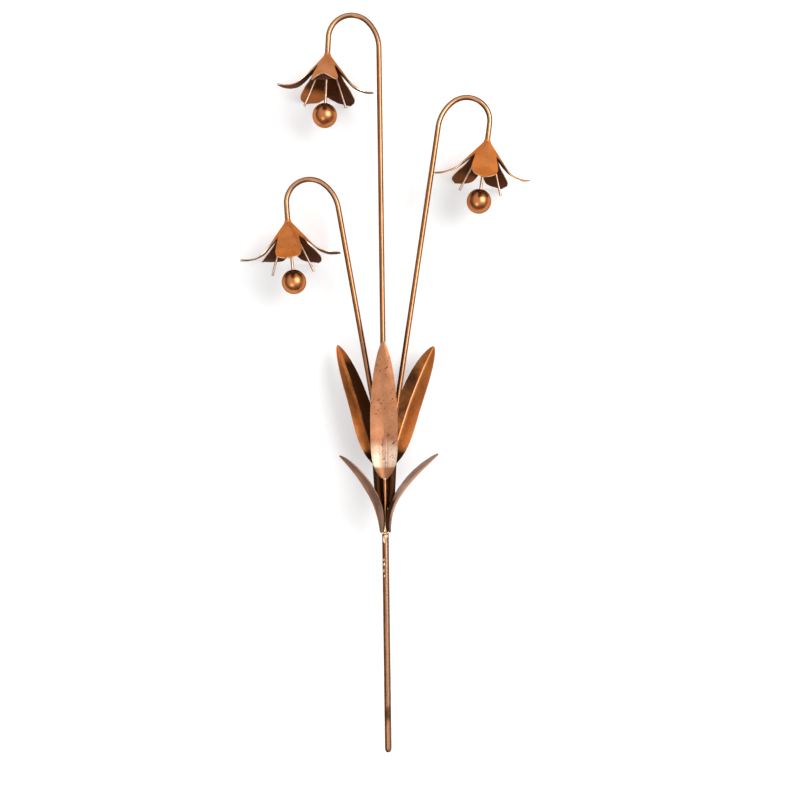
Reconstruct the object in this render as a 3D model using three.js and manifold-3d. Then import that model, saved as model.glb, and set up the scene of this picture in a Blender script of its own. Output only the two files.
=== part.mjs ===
// A decorative garden stake: one ground stake that carries three bent stems, each with a drooping
// five-petal bell, and five sheet leaves round the foot of the stems.
// Millimetres, +Z up the stake, +X to the right and -Y towards the viewer. The origin is the
// centre of the flat end of the stake's nose.
import * as THREE from "three";
import { mergeVertices } from "three/addons/utils/BufferGeometryUtils.js";
import Module from "manifold-3d";

const wasm = await Module();
wasm.setup();

// Driving dimensions: clearances and stock
const CLEARANCE = 0.3; // gap that the braze fills between two pieces
const SHEET = 1; // thickness of the sheet of bells and leaves
const STAKE_DIAMETER = 8;
const STEM_DIAMETER = 6.35;
const STAMEN_DIAMETER = 2.7;
const CLAPPER_DIAMETER = 3.4;
const STAPLE_DIAMETER = 1.6;

// Driving dimensions: stake and collar
const STAKE_LENGTH = 263;
const NOSE_LENGTH = 6;
const NOSE_FLAT_DIAMETER = 3.2;
const SPIGOT_DIAMETER = 4;
const SPIGOT_LENGTH = 14;
const COLLAR_DIAMETER = 10;
const COLLAR_HEIGHT = 13;

// Driving dimensions: stems. Each foot is brazed to the centre stem, steps out beside it and then
// leans out to its crook. Leans are measured from +Z, positive to the right. The crooks are bent
// round formers, given as radii, so that a thicker bar carries its bell further from its leg.
const CROOK_SHOULDER = { angle: 45, former: 41.825 }; // the gentle part, next to the leg
const CROOK_FORMER = 24.525;
const DROP = 20.5; // past the crook, down to the neck of the bell, with a slight nod
const CENTRE_STEM = { leg: 581.4, crook: 175.6, nod: 1 };
const FOOT_ABOVE_STAKE = 37;
const FOOT_STEP = { angle: 10, run: 8, radius: 50, back: 9 };
const SIDE_STEMS = {
  right: { side: 1, upright: 35, leanRadius: 400, lean: 9.2, leg: 346.4, crook: 178.5, nod: 1 },
  left: { side: -1, upright: 70, leanRadius: 300, lean: 9.45, leg: 227.4, crook: 172.4, nod: 3.2 },
};

// Driving dimensions: bells. The profile is a short neck, a straight cone and a flare. Each petal
// was cut and bent by hand: it has its own turn round the bell's axis, its own length, from the end
// of the neck along the sheet, and a flare that ends at its own angle from the axis. The petals are
// listed from the one towards the viewer, round by the right, and the notch after each petal is
// given as its distance from the axis. The flares of a bell start at the end of its cone, or further
// out at its furthest notch between two petals with different flares.
const BELLS = {
  centre: {
    turns: [0, 88, 151, 209, 272],
    flares: [94, 88, 80, 80, 104],
    lengths: [75, 69, 72, 72, 69],
    notches: [14, 19, 40, 19, 14],
  },
  right: {
    turns: [0, 88, 151, 212, 272],
    flares: [62, 98, 86, 84, 79],
    lengths: [75, 68, 71, 71, 70],
    notches: [18, 19, 26, 19, 18],
  },
  left: {
    turns: [0, 86, 149, 217, 274],
    flares: [70, 87, 78, 101, 94],
    lengths: [75, 71, 70, 72, 72],
    notches: [18, 19, 26, 19, 18],
  },
};
const NECK_RISE = 0.5;
const NECK_EDGE = 0.3; // thickness of the sheet where the neck is dressed down to the stem
const NECK_BEND = 8;
const CONE_HALF_ANGLE = 39;
const CONE_DEPTH = 31.5; // neck to the start of the flare
const FLARE_LENGTH = 30;
const PETAL_HALF_WIDTH = 15.5;
const PETAL_TIP_HALF_WIDTH = 1.5;
const PETAL_SWELL = 0.5; // share of a petal's free length where it is widest
const PETAL_POINT = 0.8; // 0.5 ends a petal in half an ellipse, 1 in a point

// Driving dimensions: what hangs in a bell, as depths below the neck
const SEAT_TOP = 6;
const SEAT_BOTTOM = 12.5;
const STEM_END_DEPTH = 8.2;
const SOCKET_DEPTH = 3; // how far stamens and staple legs reach into the seat
const STAMEN_OFFSET = 5.2;
const STAMEN_SPLAY = 20;
const STAMEN_LENGTH = 58;
const STAPLE_DROP = 4; // underside of the seat to the middle of the staple's bar
const EYE_PLAY = 0.5; // side play of the eye between the staple's legs
const EYE_BORE_DIAMETER = 3.4;
const BALL_DIAMETER = 29.5;
const BALL_DEPTH = 74; // neck of the bell to the middle of the ball

// Driving dimensions: leaves. A leaf starts against a bar, on the side that its turn names (0 is
// towards the viewer, positive to the right), and its back has swung round to its face at the tip.
// Its middle line is steered by two points, measured from where it starts. A tail is the end of a
// strip that the leaf sends down its bar.
const LEAVES = {
  front: {
    bar: "centre", above: 66, turn: 0, face: 0, steer: [0, -14.2, 55], tip: [0.8, -26.5, 163],
    halfWidth: 16.4, baseHalfWidth: 4.2, baseFold: 10, bladeFold: 8,
  },
  upper_left: {
    bar: "left", above: 84, turn: -180, face: -175, steer: [-18, 11.6, 72], tip: [-46.4, 20.4, 143],
    tail: [1.8, 0, -46], halfWidth: 15.5, baseHalfWidth: 5.2, baseFold: 15, bladeFold: 38,
  },
  upper_right: {
    bar: "right", above: 84, turn: 180, face: 175, steer: [19.4, 11.6, 76], tip: [52.5, 22.4, 140],
    tail: [-1.8, 0, -46], halfWidth: 16, baseHalfWidth: 5.2, baseFold: 15, bladeFold: 28,
  },
  lower_left: {
    bar: "collar", above: 1, turn: -60, face: -60, steer: [-3.9, -2.4, 50], tip: [-47.3, -17.9, 92],
    halfWidth: 10.5, baseHalfWidth: 6, baseFold: 30, bladeFold: 18,
  },
  lower_right: {
    bar: "collar", above: 1, turn: 75, face: 55, steer: [-2.5, -1.2, 46], tip: [58.4, -8.6, 93.6],
    halfWidth: 8.5, baseHalfWidth: 6, baseFold: 30, bladeFold: 18,
  },
};
const CREASE_ROUNDNESS = 0.15; // 0 folds a leaf to a sharp V, 1 rolls it to a gutter
const FOLD_CHANGE = [0.15, 0.6]; // shares of a leaf's length between which its fold changes
const TAIL_TAPER = 0.2; // share of its width that a tail loses by its end

// Facets
const ROUND_SIDES = 12;
const WIRE_SIDES = 8;
const PETAL_ROWS = 7;
const PETAL_COLUMNS = 6;
const LEAF_ROWS = 13;
const LEAF_COLUMNS = 6;
const TAIL_ROWS = 2;
const NOTCH_STEP = 9; // most millimetres between two rows of a petal, between two notches
const BEND_STEP = 10; // degrees of bend between two rings of a bar

const radians = THREE.MathUtils.degToRad;

// Solids and cuts
function solidOf(geometry) {
  const bare = geometry.index ? geometry.toNonIndexed() : geometry.clone();
  bare.deleteAttribute("normal");
  bare.deleteAttribute("uv");
  const merged = mergeVertices(bare, 1e-4);
  return new wasm.Manifold(
    new wasm.Mesh({
      numProp: 3,
      vertProperties: merged.attributes.position.array,
      triVerts: new Uint32Array(merged.index.array),
    }),
  );
}

function geometryOf(solid) {
  const mesh = solid.getMesh();
  const geometry = new THREE.BufferGeometry();
  geometry.setAttribute("position", new THREE.BufferAttribute(mesh.vertProperties, 3));
  geometry.setIndex(new THREE.BufferAttribute(mesh.triVerts, 1));
  return geometry;
}

function cut(geometry, ...tools) {
  return geometryOf(tools.reduce((left, tool) => left.subtract(solidOf(tool)), solidOf(geometry)));
}

function join(first, second) {
  return geometryOf(solidOf(first).add(solidOf(second)));
}

// A profile of [radius, height] pairs turned round Z, written from its lower end on the axis,
// out and up, to its upper end.
function turned(profile, segments = 2 * ROUND_SIDES) {
  const points = profile.map(([radius, height]) => new THREE.Vector2(radius, height));
  return new THREE.LatheGeometry(points, segments).rotateX(Math.PI / 2);
}

// A round bar between two points
function bar(from, to, diameter, sides = WIRE_SIDES) {
  const line = new THREE.LineCurve3(from, to);
  return extrudedRound(line, 1, diameter, sides);
}

function extrudedRound(path, steps, diameter, sides) {
  const section = new THREE.Shape();
  section.absarc(0, 0, diameter / 2, 0, 2 * Math.PI);
  return new THREE.ExtrudeGeometry(section, { steps, extrudePath: path, curveSegments: sides / 2 });
}

// The middle line of a bar bent in one plane: it starts at a point with a heading, measured from
// +Z towards +X, and takes straight runs and bends in turn, as on a bending former.
class BentLine extends THREE.Curve {
  constructor(x, z, heading) {
    super();
    this.stations = [{ x, z, heading }];
  }

  get end() {
    return this.stations[this.stations.length - 1];
  }

  get steps() {
    return this.stations.length - 1;
  }

  run(length) {
    const { x, z, heading } = this.end;
    const turn = radians(heading);
    this.stations.push({ x: x + length * Math.sin(turn), z: z + length * Math.cos(turn), heading });
    return this;
  }

  bend(angle, radius) {
    const { x, z, heading } = this.end;
    const side = Math.sign(angle);
    const centreX = x + side * radius * Math.cos(radians(heading));
    const centreZ = z - side * radius * Math.sin(radians(heading));
    const steps = Math.max(2, Math.ceil(Math.abs(angle) / BEND_STEP));
    for (let step = 1; step <= steps; step++) {
      const now = heading + (angle * step) / steps;
      this.stations.push({
        x: centreX - side * radius * Math.cos(radians(now)),
        z: centreZ + side * radius * Math.sin(radians(now)),
        heading: now,
      });
    }
    return this;
  }

  // A crook to one side, gentle at its shoulder and then round, and its end down into the bell
  crook(side, angle, nod) {
    return this.bend(side * CROOK_SHOULDER.angle, CROOK_SHOULDER.former + STEM_DIAMETER / 2)
      .bend(side * (angle - CROOK_SHOULDER.angle), CROOK_FORMER + STEM_DIAMETER / 2)
      .bend(side * nod, DROP / radians(nod))
      .run(STEM_END_DEPTH);
  }

  stationAt(u) {
    return this.stations[Math.round(u * this.steps)];
  }

  getPointAt(u, target = new THREE.Vector3()) {
    const { x, z } = this.stationAt(u);
    return target.set(x, 0, z);
  }

  getTangentAt(u, target = new THREE.Vector3()) {
    const turn = radians(this.stationAt(u).heading);
    return target.set(Math.sin(turn), 0, Math.cos(turn));
  }

  // Where the middle line passes a height on its way up
  xAtHeight(height) {
    const above = this.stations.findIndex((station) => station.z >= height);
    const upper = this.stations[above];
    const lower = this.stations[Math.max(above - 1, 0)];
    const share = above > 0 ? (height - lower.z) / (upper.z - lower.z) : 0;
    return lower.x + share * (upper.x - lower.x);
  }
}

// A sheet lofted through rows of points: each row has an outer and an inner line of equal count,
// and the rims and both ends are closed.
function lofted(rows) {
  const across = rows[0].outer.length;
  const around = 2 * across;
  const positions = rows.flatMap(({ outer, inner }) =>
    [...outer, ...[...inner].reverse()].flatMap((point) => point.toArray()),
  );
  const index = [];
  const quad = (a, b, c, d) => index.push(a, b, c, a, c, d);
  for (let row = 0; row + 1 < rows.length; row++) {
    for (let point = 0; point < around; point++) {
      const next = (point + 1) % around;
      quad(row * around + point, row * around + next, (row + 1) * around + next, (row + 1) * around + point);
    }
  }
  const last = (rows.length - 1) * around;
  for (let point = 0; point + 1 < across; point++) {
    const back = around - 1 - point;
    quad(point, back, back - 1, point + 1);
    quad(last + point, last + point + 1, last + back - 1, last + back);
  }
  const geometry = new THREE.BufferGeometry();
  geometry.setAttribute("position", new THREE.Float32BufferAttribute(positions, 3));
  geometry.setIndex(index);
  return geometry;
}

// Materials and placing
const COLOURS = {
  stake: { color: 0xb07a55, roughness: 0.35 },
  stem: { color: 0xc98a5a, roughness: 0.25 },
  leaf: { color: 0xb9764e, roughness: 0.4 },
  bell: { color: 0xc9824a, roughness: 0.45 },
  ball: { color: 0x9a5a38, roughness: 0.15 },
  wire: { color: 0xb98a6a, roughness: 0.3 },
  braze: { color: 0xb5906c, roughness: 0.4 },
};

const stakeGroup = new THREE.Group();

function place(group, name, geometry, look) {
  const mesh = new THREE.Mesh(geometry, new THREE.MeshStandardMaterial({ ...COLOURS[look], metalness: 1 }));
  mesh.name = name;
  group.add(mesh);
  return mesh;
}

// Stake, with a blunt nose and a drilled top for the spigot
function stakeGeometry() {
  const radius = STAKE_DIAMETER / 2;
  const flat = NOSE_FLAT_DIAMETER / 2;
  const bore = SPIGOT_DIAMETER / 2 + CLEARANCE;
  const boreFloor = STAKE_LENGTH - SPIGOT_LENGTH - CLEARANCE;
  const nose = [0, 30, 60, 90].map((degrees) => [
    flat + (radius - flat) * Math.sin(radians(degrees)),
    NOSE_LENGTH * (1 - Math.cos(radians(degrees))),
  ]);
  const drilling = [[bore, STAKE_LENGTH], [bore, boreFloor], [0, boreFloor]];
  return turned([[0, 0], ...nose, [radius, STAKE_LENGTH], ...drilling]);
}

// Collar of braze round the foot of the centre stem, on top of the stake
function collarGeometry() {
  const bore = STEM_DIAMETER / 2 + CLEARANCE;
  const foot = STAKE_DIAMETER / 2;
  const radius = COLLAR_DIAMETER / 2;
  const bottom = STAKE_LENGTH + CLEARANCE;
  const top = bottom + COLLAR_HEIGHT;
  const flare = 0.3 * COLLAR_HEIGHT;
  return turned([
    [bore, bottom],
    [foot, bottom],
    [radius, bottom + flare],
    [radius, top - flare],
    [(bore + radius) / 2, top],
    [bore, top],
    [bore, bottom],
  ]);
}

// Middle lines of the stems
function centreLine() {
  const { leg, crook, nod } = CENTRE_STEM;
  return new BentLine(0, STAKE_LENGTH + CLEARANCE, 0).run(leg).crook(-1, crook, nod);
}

function sideLine({ side, upright, leanRadius, lean, leg, crook, nod }) {
  const leanLeft = lean - (FOOT_STEP.angle - FOOT_STEP.back);
  const footHeight = STAKE_LENGTH + FOOT_ABOVE_STAKE;
  return new BentLine(side * (STEM_DIAMETER + CLEARANCE), footHeight, side * FOOT_STEP.angle)
    .run(FOOT_STEP.run)
    .bend(-side * FOOT_STEP.back, FOOT_STEP.radius)
    .run(upright)
    .bend(side * leanLeft, leanRadius)
    .run(leg)
    .crook(side, crook, nod);
}

const stemLines = {
  centre: centreLine(),
  right: sideLine(SIDE_STEMS.right),
  left: sideLine(SIDE_STEMS.left),
};

function stemGeometry(line) {
  return extrudedRound(line, line.steps, STEM_DIAMETER, ROUND_SIDES);
}

// The centre stem ends in a spigot that stands in the stake
function centreStemGeometry() {
  const shoulder = STAKE_LENGTH + CLEARANCE;
  const from = new THREE.Vector3(0, 0, STAKE_LENGTH - SPIGOT_LENGTH);
  const to = new THREE.Vector3(0, 0, shoulder + SPIGOT_DIAMETER);
  return join(stemGeometry(stemLines.centre), bar(from, to, SPIGOT_DIAMETER, ROUND_SIDES));
}

// A bell's profile, as its radius, its depth below the neck, its angle from the axis and its
// thickness, by the distance along the sheet from the end of the neck. The neck lies at negative
// distances.
const coneAngle = radians(CONE_HALF_ANGLE);
const neckLength = NECK_BEND * coneAngle;
const neckRadius = STEM_DIAMETER / 2 + CLEARANCE + NECK_EDGE / 2;
const coneTopRadius = neckRadius + NECK_BEND * (1 - Math.cos(coneAngle));
const coneTopDepth = NECK_BEND * Math.sin(coneAngle) - NECK_RISE;
const coneLength = (CONE_DEPTH - coneTopDepth) / Math.cos(coneAngle);

function bellProfile(along, flare) {
  if (along < 0) {
    const angle = coneAngle + along / NECK_BEND;
    const radius = neckRadius + NECK_BEND * (1 - Math.cos(angle));
    const depth = NECK_BEND * Math.sin(angle) - NECK_RISE;
    return { radius, depth, angle, thickness: SHEET + (along / neckLength) * (SHEET - NECK_EDGE) };
  }
  const onCone = Math.min(along, flare.start);
  const onFlare = THREE.MathUtils.clamp(along - flare.start, 0, FLARE_LENGTH);
  const pastFlare = Math.max(along - flare.start - FLARE_LENGTH, 0);
  const bend = FLARE_LENGTH / (flare.angle - coneAngle);
  const angle = coneAngle + onFlare / bend;
  const radius =
    coneTopRadius +
    onCone * Math.sin(coneAngle) +
    bend * (Math.cos(coneAngle) - Math.cos(angle)) +
    pastFlare * Math.sin(angle);
  const depth =
    coneTopDepth +
    onCone * Math.cos(coneAngle) +
    bend * (Math.sin(angle) - Math.sin(coneAngle)) +
    pastFlare * Math.cos(angle);
  return { radius, depth, angle, thickness: SHEET };
}

// Distance along the sheet where the profile reaches a radius
function alongAtRadius(target, flare) {
  let [low, high] = [0, 2 * target];
  while (high - low > 1e-6) {
    const middle = (low + high) / 2;
    if (bellProfile(middle, flare).radius < target) low = middle;
    else high = middle;
  }
  return high;
}

// One long side of a petal: the angle from the petal's middle to that side, by the distance along
// the sheet. Up to the notch it is the border to the next petal.
function petalSide(notchRadius, border, { flare, length }) {
  const { lerp, smoothstep } = THREE.MathUtils;
  const notch = alongAtRadius(notchRadius, flare);
  const root = notchRadius * Math.sin(border);
  const angleAt = (along) => {
    if (along <= notch) return border;
    const share = (along - notch) / (length - notch);
    const swollen = lerp(root, PETAL_HALF_WIDTH, smoothstep(share, 0, PETAL_SWELL));
    const ending = Math.max((share - PETAL_SWELL) / (1 - PETAL_SWELL), 0);
    const half = Math.max(swollen * (1 - ending * ending) ** PETAL_POINT, PETAL_TIP_HALF_WIDTH);
    return Math.asin(half / bellProfile(along, flare).radius);
  };
  return { notch, angleAt };
}

// Distances along the sheet at which a petal has a row of points: at the bell's notches up to its
// own later one, with steps between them, and then closer towards its tip
function petalRows(notches, length) {
  const rows = [-neckLength, -neckLength / 2, 0, notches[0] / 2, notches[0]];
  for (let order = 1; order < notches.length; order++) {
    const [from, to] = [notches[order - 1], notches[order]];
    const steps = Math.ceil((to - from) / NOTCH_STEP);
    for (let step = 1; step <= steps; step++) rows.push(THREE.MathUtils.lerp(from, to, step / steps));
  }
  const last = rows.at(-1);
  for (let row = 1; row <= PETAL_ROWS; row++) {
    const share = Math.sin((Math.PI / 2) * (row / PETAL_ROWS));
    rows.push(last + share * (length - last));
  }
  return rows;
}

// One petal with its sector of the neck and cone, as a sheet. Its cut sides are closed from their
// notches on, so that the sectors join to one sheet.
function petalSheet(petal) {
  const { facing, flare, length, borders, notches, bellNotches } = petal;
  const [before, after] = borders.map((border, side) => petalSide(notches[side], border, petal));
  const joined = bellNotches
    .map((radius) => alongAtRadius(radius, flare))
    .filter((notch) => notch <= Math.max(before.notch, after.notch))
    .sort((one, other) => one - other);
  const rows = petalRows(joined, length);
  const lastRow = rows.length - 1;
  const lastColumn = PETAL_COLUMNS;
  const triangles = [];
  const quad = (a, b, c, d) => triangles.push(a, b, c, a, c, d);
  const pointOn = (side) => (row, column) => {
    const along = rows[row];
    const { radius, depth, angle, thickness } = bellProfile(along, flare);
    const share = column / PETAL_COLUMNS;
    const turn = facing + THREE.MathUtils.lerp(-before.angleAt(along), after.angleAt(along), share);
    const offset = (side * thickness) / 2;
    const reach = radius + offset * Math.cos(angle);
    return [reach * Math.sin(turn), -reach * Math.cos(turn), offset * Math.sin(angle) - depth];
  };
  const outer = pointOn(1);
  const inner = pointOn(-1);
  for (let column = 0; column < lastColumn; column++) {
    const next = column + 1;
    for (let row = 0; row < lastRow; row++) {
      quad(outer(row, column), outer(row + 1, column), outer(row + 1, next), outer(row, next));
      quad(inner(row, column), inner(row, next), inner(row + 1, next), inner(row + 1, column));
    }
    quad(outer(0, column), outer(0, next), inner(0, next), inner(0, column));
    quad(outer(lastRow, column), inner(lastRow, column), inner(lastRow, next), outer(lastRow, next));
  }
  for (let row = 0; row < lastRow; row++) {
    const next = row + 1;
    if (rows[row] >= before.notch) {
      quad(outer(row, 0), inner(row, 0), inner(next, 0), outer(next, 0));
    }
    if (rows[row] >= after.notch) {
      quad(outer(row, lastColumn), outer(next, lastColumn), inner(next, lastColumn), inner(row, lastColumn));
    }
  }
  return triangles.flat();
}

// Distance along the sheet where a bell's flares start. Petals with different flares share one cone
// up to the notch between them.
function flareStart({ flares, notches }) {
  const unlike = notches.filter((_, order) => flares[order] !== flares[(order + 1) % flares.length]);
  return Math.max(coneLength, ...unlike.map((radius) => (radius - coneTopRadius) / Math.sin(coneAngle)));
}

// A bell: one sheet, drawn up to a neck round the stem and cut into petals
function bellGeometry({ turns, flares, lengths, notches }) {
  const start = flareStart({ flares, notches });
  const gapAfter = (order) => (turns[(order + 1) % turns.length] - turns.at(order) + 360) % 360;
  const corners = turns.flatMap((turn, order) =>
    petalSheet({
      facing: radians(turn),
      flare: { angle: radians(flares[order]), start },
      length: lengths[order],
      borders: [gapAfter(order - 1), gapAfter(order)].map((gap) => radians(gap) / 2),
      notches: [notches.at(order - 1), notches[order]],
      bellNotches: notches,
    }),
  );
  const geometry = new THREE.BufferGeometry();
  geometry.setAttribute("position", new THREE.Float32BufferAttribute(corners, 3));
  return mergeVertices(geometry, 1e-4);
}

// Inner radius of a bell's cone at a depth
function coneInside(depth) {
  return coneTopRadius + (depth - coneTopDepth) * Math.tan(coneAngle) - SHEET / 2 / Math.cos(coneAngle);
}

// A point in a bell, by its sideways place and its depth
function inBell(x, depth) {
  return new THREE.Vector3(x, 0, -depth);
}

// Middle line of a side stamen, out of its socket in the seat
function stamenEnds(side) {
  const top = SEAT_BOTTOM - SOCKET_DEPTH;
  const splay = radians(STAMEN_SPLAY);
  const from = inBell(side * STAMEN_OFFSET, top);
  const reach = STAMEN_OFFSET + STAMEN_LENGTH * Math.sin(splay);
  const to = inBell(side * reach, top + STAMEN_LENGTH * Math.cos(splay));
  return [from, to];
}

const eyeThickness = 0.7 * CLAPPER_DIAMETER;
const stapleHalfSpan = eyeThickness / 2 + EYE_PLAY + STAPLE_DIAMETER / 2;
const hingeDepth = SEAT_BOTTOM + STAPLE_DROP;

// Seat: a plug in the cone with a socket for each piece that it holds
function seatGeometry() {
  const gap = CLEARANCE / Math.cos(radians(CONE_HALF_ANGLE));
  const bore = STEM_DIAMETER / 2 + CLEARANCE;
  const boreFloor = STEM_END_DEPTH + CLEARANCE;
  const plug = turned([
    [0, -SEAT_BOTTOM],
    [coneInside(SEAT_BOTTOM) - gap, -SEAT_BOTTOM],
    [coneInside(SEAT_TOP) - gap, -SEAT_TOP],
    [bore, -SEAT_TOP],
    [bore, -boreFloor],
    [0, -boreFloor],
  ]);
  const sockets = [-1, 1].flatMap((side) => {
    const [from, to] = stamenEnds(side);
    const legTop = SEAT_BOTTOM - SOCKET_DEPTH;
    const back = from.clone().sub(to).setLength(CLEARANCE);
    const leg = side * stapleHalfSpan;
    return [
      bar(from.clone().add(back), to, STAMEN_DIAMETER + 2 * CLEARANCE),
      bar(inBell(leg, legTop - CLEARANCE), inBell(leg, hingeDepth), STAPLE_DIAMETER + 2 * CLEARANCE),
    ];
  });
  return cut(plug, ...sockets);
}

// Staple: a wire bent to a U, whose bar is the clapper's hinge
function stapleGeometry() {
  const corner = STAPLE_DIAMETER;
  const legTop = SEAT_BOTTOM - SOCKET_DEPTH;
  const line = new BentLine(-stapleHalfSpan, -legTop, 180)
    .run(hingeDepth - legTop - corner)
    .bend(-90, corner)
    .run(2 * (stapleHalfSpan - corner))
    .bend(-90, corner)
    .run(hingeDepth - legTop - corner);
  return extrudedRound(line, line.steps, STAPLE_DIAMETER, WIRE_SIDES);
}

// Clapper rod: its eye hangs on the staple's bar, and its foot stands in the ball
function clapperRodGeometry() {
  const eyeRadius = (EYE_BORE_DIAMETER + eyeThickness) / 2;
  const hang = (EYE_BORE_DIAMETER - STAPLE_DIAMETER) / 2 - CLEARANCE;
  const eyeDepth = hingeDepth + hang;
  const eye = new THREE.TorusGeometry(eyeRadius, eyeThickness / 2, WIRE_SIDES, 2 * WIRE_SIDES);
  eye.rotateY(Math.PI / 2).translate(0, 0, -eyeDepth);
  const rod = bar(inBell(0, eyeDepth + eyeRadius), inBell(0, BALL_DEPTH), CLAPPER_DIAMETER);
  return join(eye, rod);
}

function ballGeometry() {
  const ball = new THREE.SphereGeometry(BALL_DIAMETER / 2, 20, 12);
  ball.rotateX(Math.PI / 2).translate(0, 0, -BALL_DEPTH);
  const mouth = inBell(0, BALL_DEPTH - BALL_DIAMETER);
  const floor = inBell(0, BALL_DEPTH + CLEARANCE);
  return cut(ball, bar(mouth, floor, CLAPPER_DIAMETER + 2 * CLEARANCE));
}

// A flower hangs from the end of its stem, with its own frame at the neck of the bell
function addFlower(name, line) {
  const { x, z, heading } = line.end;
  const turn = radians(heading);
  const flower = new THREE.Group();
  flower.position.set(x - STEM_END_DEPTH * Math.sin(turn), 0, z - STEM_END_DEPTH * Math.cos(turn));
  flower.rotation.y = turn - Math.PI;
  place(flower, `bell_${name}`, bellGeometry(BELLS[name]), "bell");
  place(flower, `seat_${name}`, seatGeometry(), "braze");
  place(flower, `staple_${name}`, stapleGeometry(), "wire");
  place(flower, `clapper_rod_${name}`, clapperRodGeometry(), "wire");
  place(flower, `clapper_ball_${name}`, ballGeometry(), "ball");
  place(flower, `stamen_left_${name}`, bar(...stamenEnds(-1), STAMEN_DIAMETER), "wire");
  place(flower, `stamen_right_${name}`, bar(...stamenEnds(1), STAMEN_DIAMETER), "wire");
  stakeGroup.add(flower);
}

// Half width of a leaf along its length, as a share of its greatest: blunt below, pointed above
function leafShare(along) {
  const reach = Math.abs(2 * along - 1);
  const power = along < 0.5 ? 4 : 2;
  return Math.pow(1 - Math.pow(reach, power), 0.63);
}

// The level direction that a turn round Z names
function outward(turn) {
  return new THREE.Vector3(Math.sin(radians(turn)), -Math.cos(radians(turn)), 0);
}

// A leaf: a folded strip whose hollow side lies against a round bar of radius hug along +Z
function leafGeometry({ hug, turn, face, steer, tip, tail, ...form }) {
  const { halfWidth, baseHalfWidth, baseFold, bladeFold } = form;
  const tipHalfWidth = SHEET;
  const crease = (u) => Math.hypot(u, CREASE_ROUNDNESS) - CREASE_ROUNDNESS;
  const root = outward(turn).multiplyScalar((hug + CLEARANCE) / Math.cos(radians(baseFold)));
  const fromRoot = (offset) => new THREE.Vector3(...offset).add(root);
  const line = new THREE.QuadraticBezierCurve3(root, fromRoot(steer), fromRoot(tip));
  const sections = [];
  for (let row = tail ? -TAIL_ROWS : 0; row <= LEAF_ROWS; row++) {
    const along = Math.max(row / LEAF_ROWS, 0);
    const onTail = Math.max(-row / TAIL_ROWS, 0);
    const folded = THREE.MathUtils.smoothstep(along, ...FOLD_CHANGE);
    const fold = radians(THREE.MathUtils.lerp(baseFold, bladeFold, folded));
    const taper = 1 - TAIL_TAPER * onTail;
    const base = taper * baseHalfWidth * (1 - along) ** 2;
    const half = Math.hypot(halfWidth * leafShare(along), base, tipHalfWidth);
    const middle = line.getPoint(along);
    const tangent = line.getTangent(along);
    if (onTail > 0) {
      const strip = new THREE.Vector3(...tail);
      middle.addScaledVector(strip, onTail);
      tangent.copy(strip).negate().normalize();
    }
    const out = outward(THREE.MathUtils.lerp(turn, face, along));
    out.addScaledVector(tangent, -out.dot(tangent)).normalize();
    const sideways = tangent.clone().cross(out);
    const outer = [];
    const inner = [];
    for (let column = 0; column <= LEAF_COLUMNS; column++) {
      const u = (2 * column) / LEAF_COLUMNS - 1;
      const across = half * Math.cos(fold) * u;
      const depth = half * Math.sin(fold) * (crease(u) / crease(1));
      const lower = middle.clone().addScaledVector(sideways, across).addScaledVector(out, -depth);
      inner.push(lower);
      outer.push(lower.clone().addScaledVector(out, SHEET / Math.cos(fold)));
    }
    sections.push({ outer, inner });
  }
  return lofted(sections);
}

function addLeaf(name, { bar: barName, above, ...form }) {
  const base = STAKE_LENGTH + above;
  const onCollar = barName === "collar";
  const hug = (onCollar ? COLLAR_DIAMETER : STEM_DIAMETER) / 2;
  const leaf = place(stakeGroup, `leaf_${name}`, leafGeometry({ hug, ...form }), "leaf");
  leaf.position.set(onCollar ? 0 : stemLines[barName].xAtHeight(base), 0, base);
}

place(stakeGroup, "stake", stakeGeometry(), "stake");
place(stakeGroup, "collar", collarGeometry(), "braze");
place(stakeGroup, "stem_centre", centreStemGeometry(), "stem");
place(stakeGroup, "stem_right", stemGeometry(stemLines.right), "stem");
place(stakeGroup, "stem_left", stemGeometry(stemLines.left), "stem");
for (const [name, leaf] of Object.entries(LEAVES)) addLeaf(name, leaf);
for (const [name, line] of Object.entries(stemLines)) addFlower(name, line);

export default stakeGroup;
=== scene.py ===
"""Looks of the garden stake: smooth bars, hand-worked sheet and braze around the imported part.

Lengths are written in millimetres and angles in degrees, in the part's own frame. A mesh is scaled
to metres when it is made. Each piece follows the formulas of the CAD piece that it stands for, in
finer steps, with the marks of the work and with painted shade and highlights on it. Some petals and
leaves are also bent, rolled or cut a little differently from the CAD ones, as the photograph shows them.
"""
import math

import bmesh
import bpy
from mathutils import Matrix, Vector, noise


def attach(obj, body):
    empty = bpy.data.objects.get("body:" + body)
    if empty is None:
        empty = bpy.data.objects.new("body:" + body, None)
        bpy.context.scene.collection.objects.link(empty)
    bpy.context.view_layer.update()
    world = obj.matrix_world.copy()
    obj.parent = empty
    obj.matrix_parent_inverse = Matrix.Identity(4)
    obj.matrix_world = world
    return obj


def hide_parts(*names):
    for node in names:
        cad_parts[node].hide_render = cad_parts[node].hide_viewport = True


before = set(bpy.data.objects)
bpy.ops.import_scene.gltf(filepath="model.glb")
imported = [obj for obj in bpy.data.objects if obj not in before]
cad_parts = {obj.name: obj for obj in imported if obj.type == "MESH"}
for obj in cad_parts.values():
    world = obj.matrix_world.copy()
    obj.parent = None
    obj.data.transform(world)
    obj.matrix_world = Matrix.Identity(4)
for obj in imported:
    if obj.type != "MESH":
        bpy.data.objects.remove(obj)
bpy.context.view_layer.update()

MM = 0.001
FLOWERS = ("centre", "right", "left")

# Stock and clearances
CLEARANCE = 0.3
SHEET = 1.0
STAKE_DIAMETER = 8.0
STEM_DIAMETER = 6.35
STAMEN_DIAMETER = 2.7
CLAPPER_DIAMETER = 3.4
STAPLE_DIAMETER = 1.6

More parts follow.
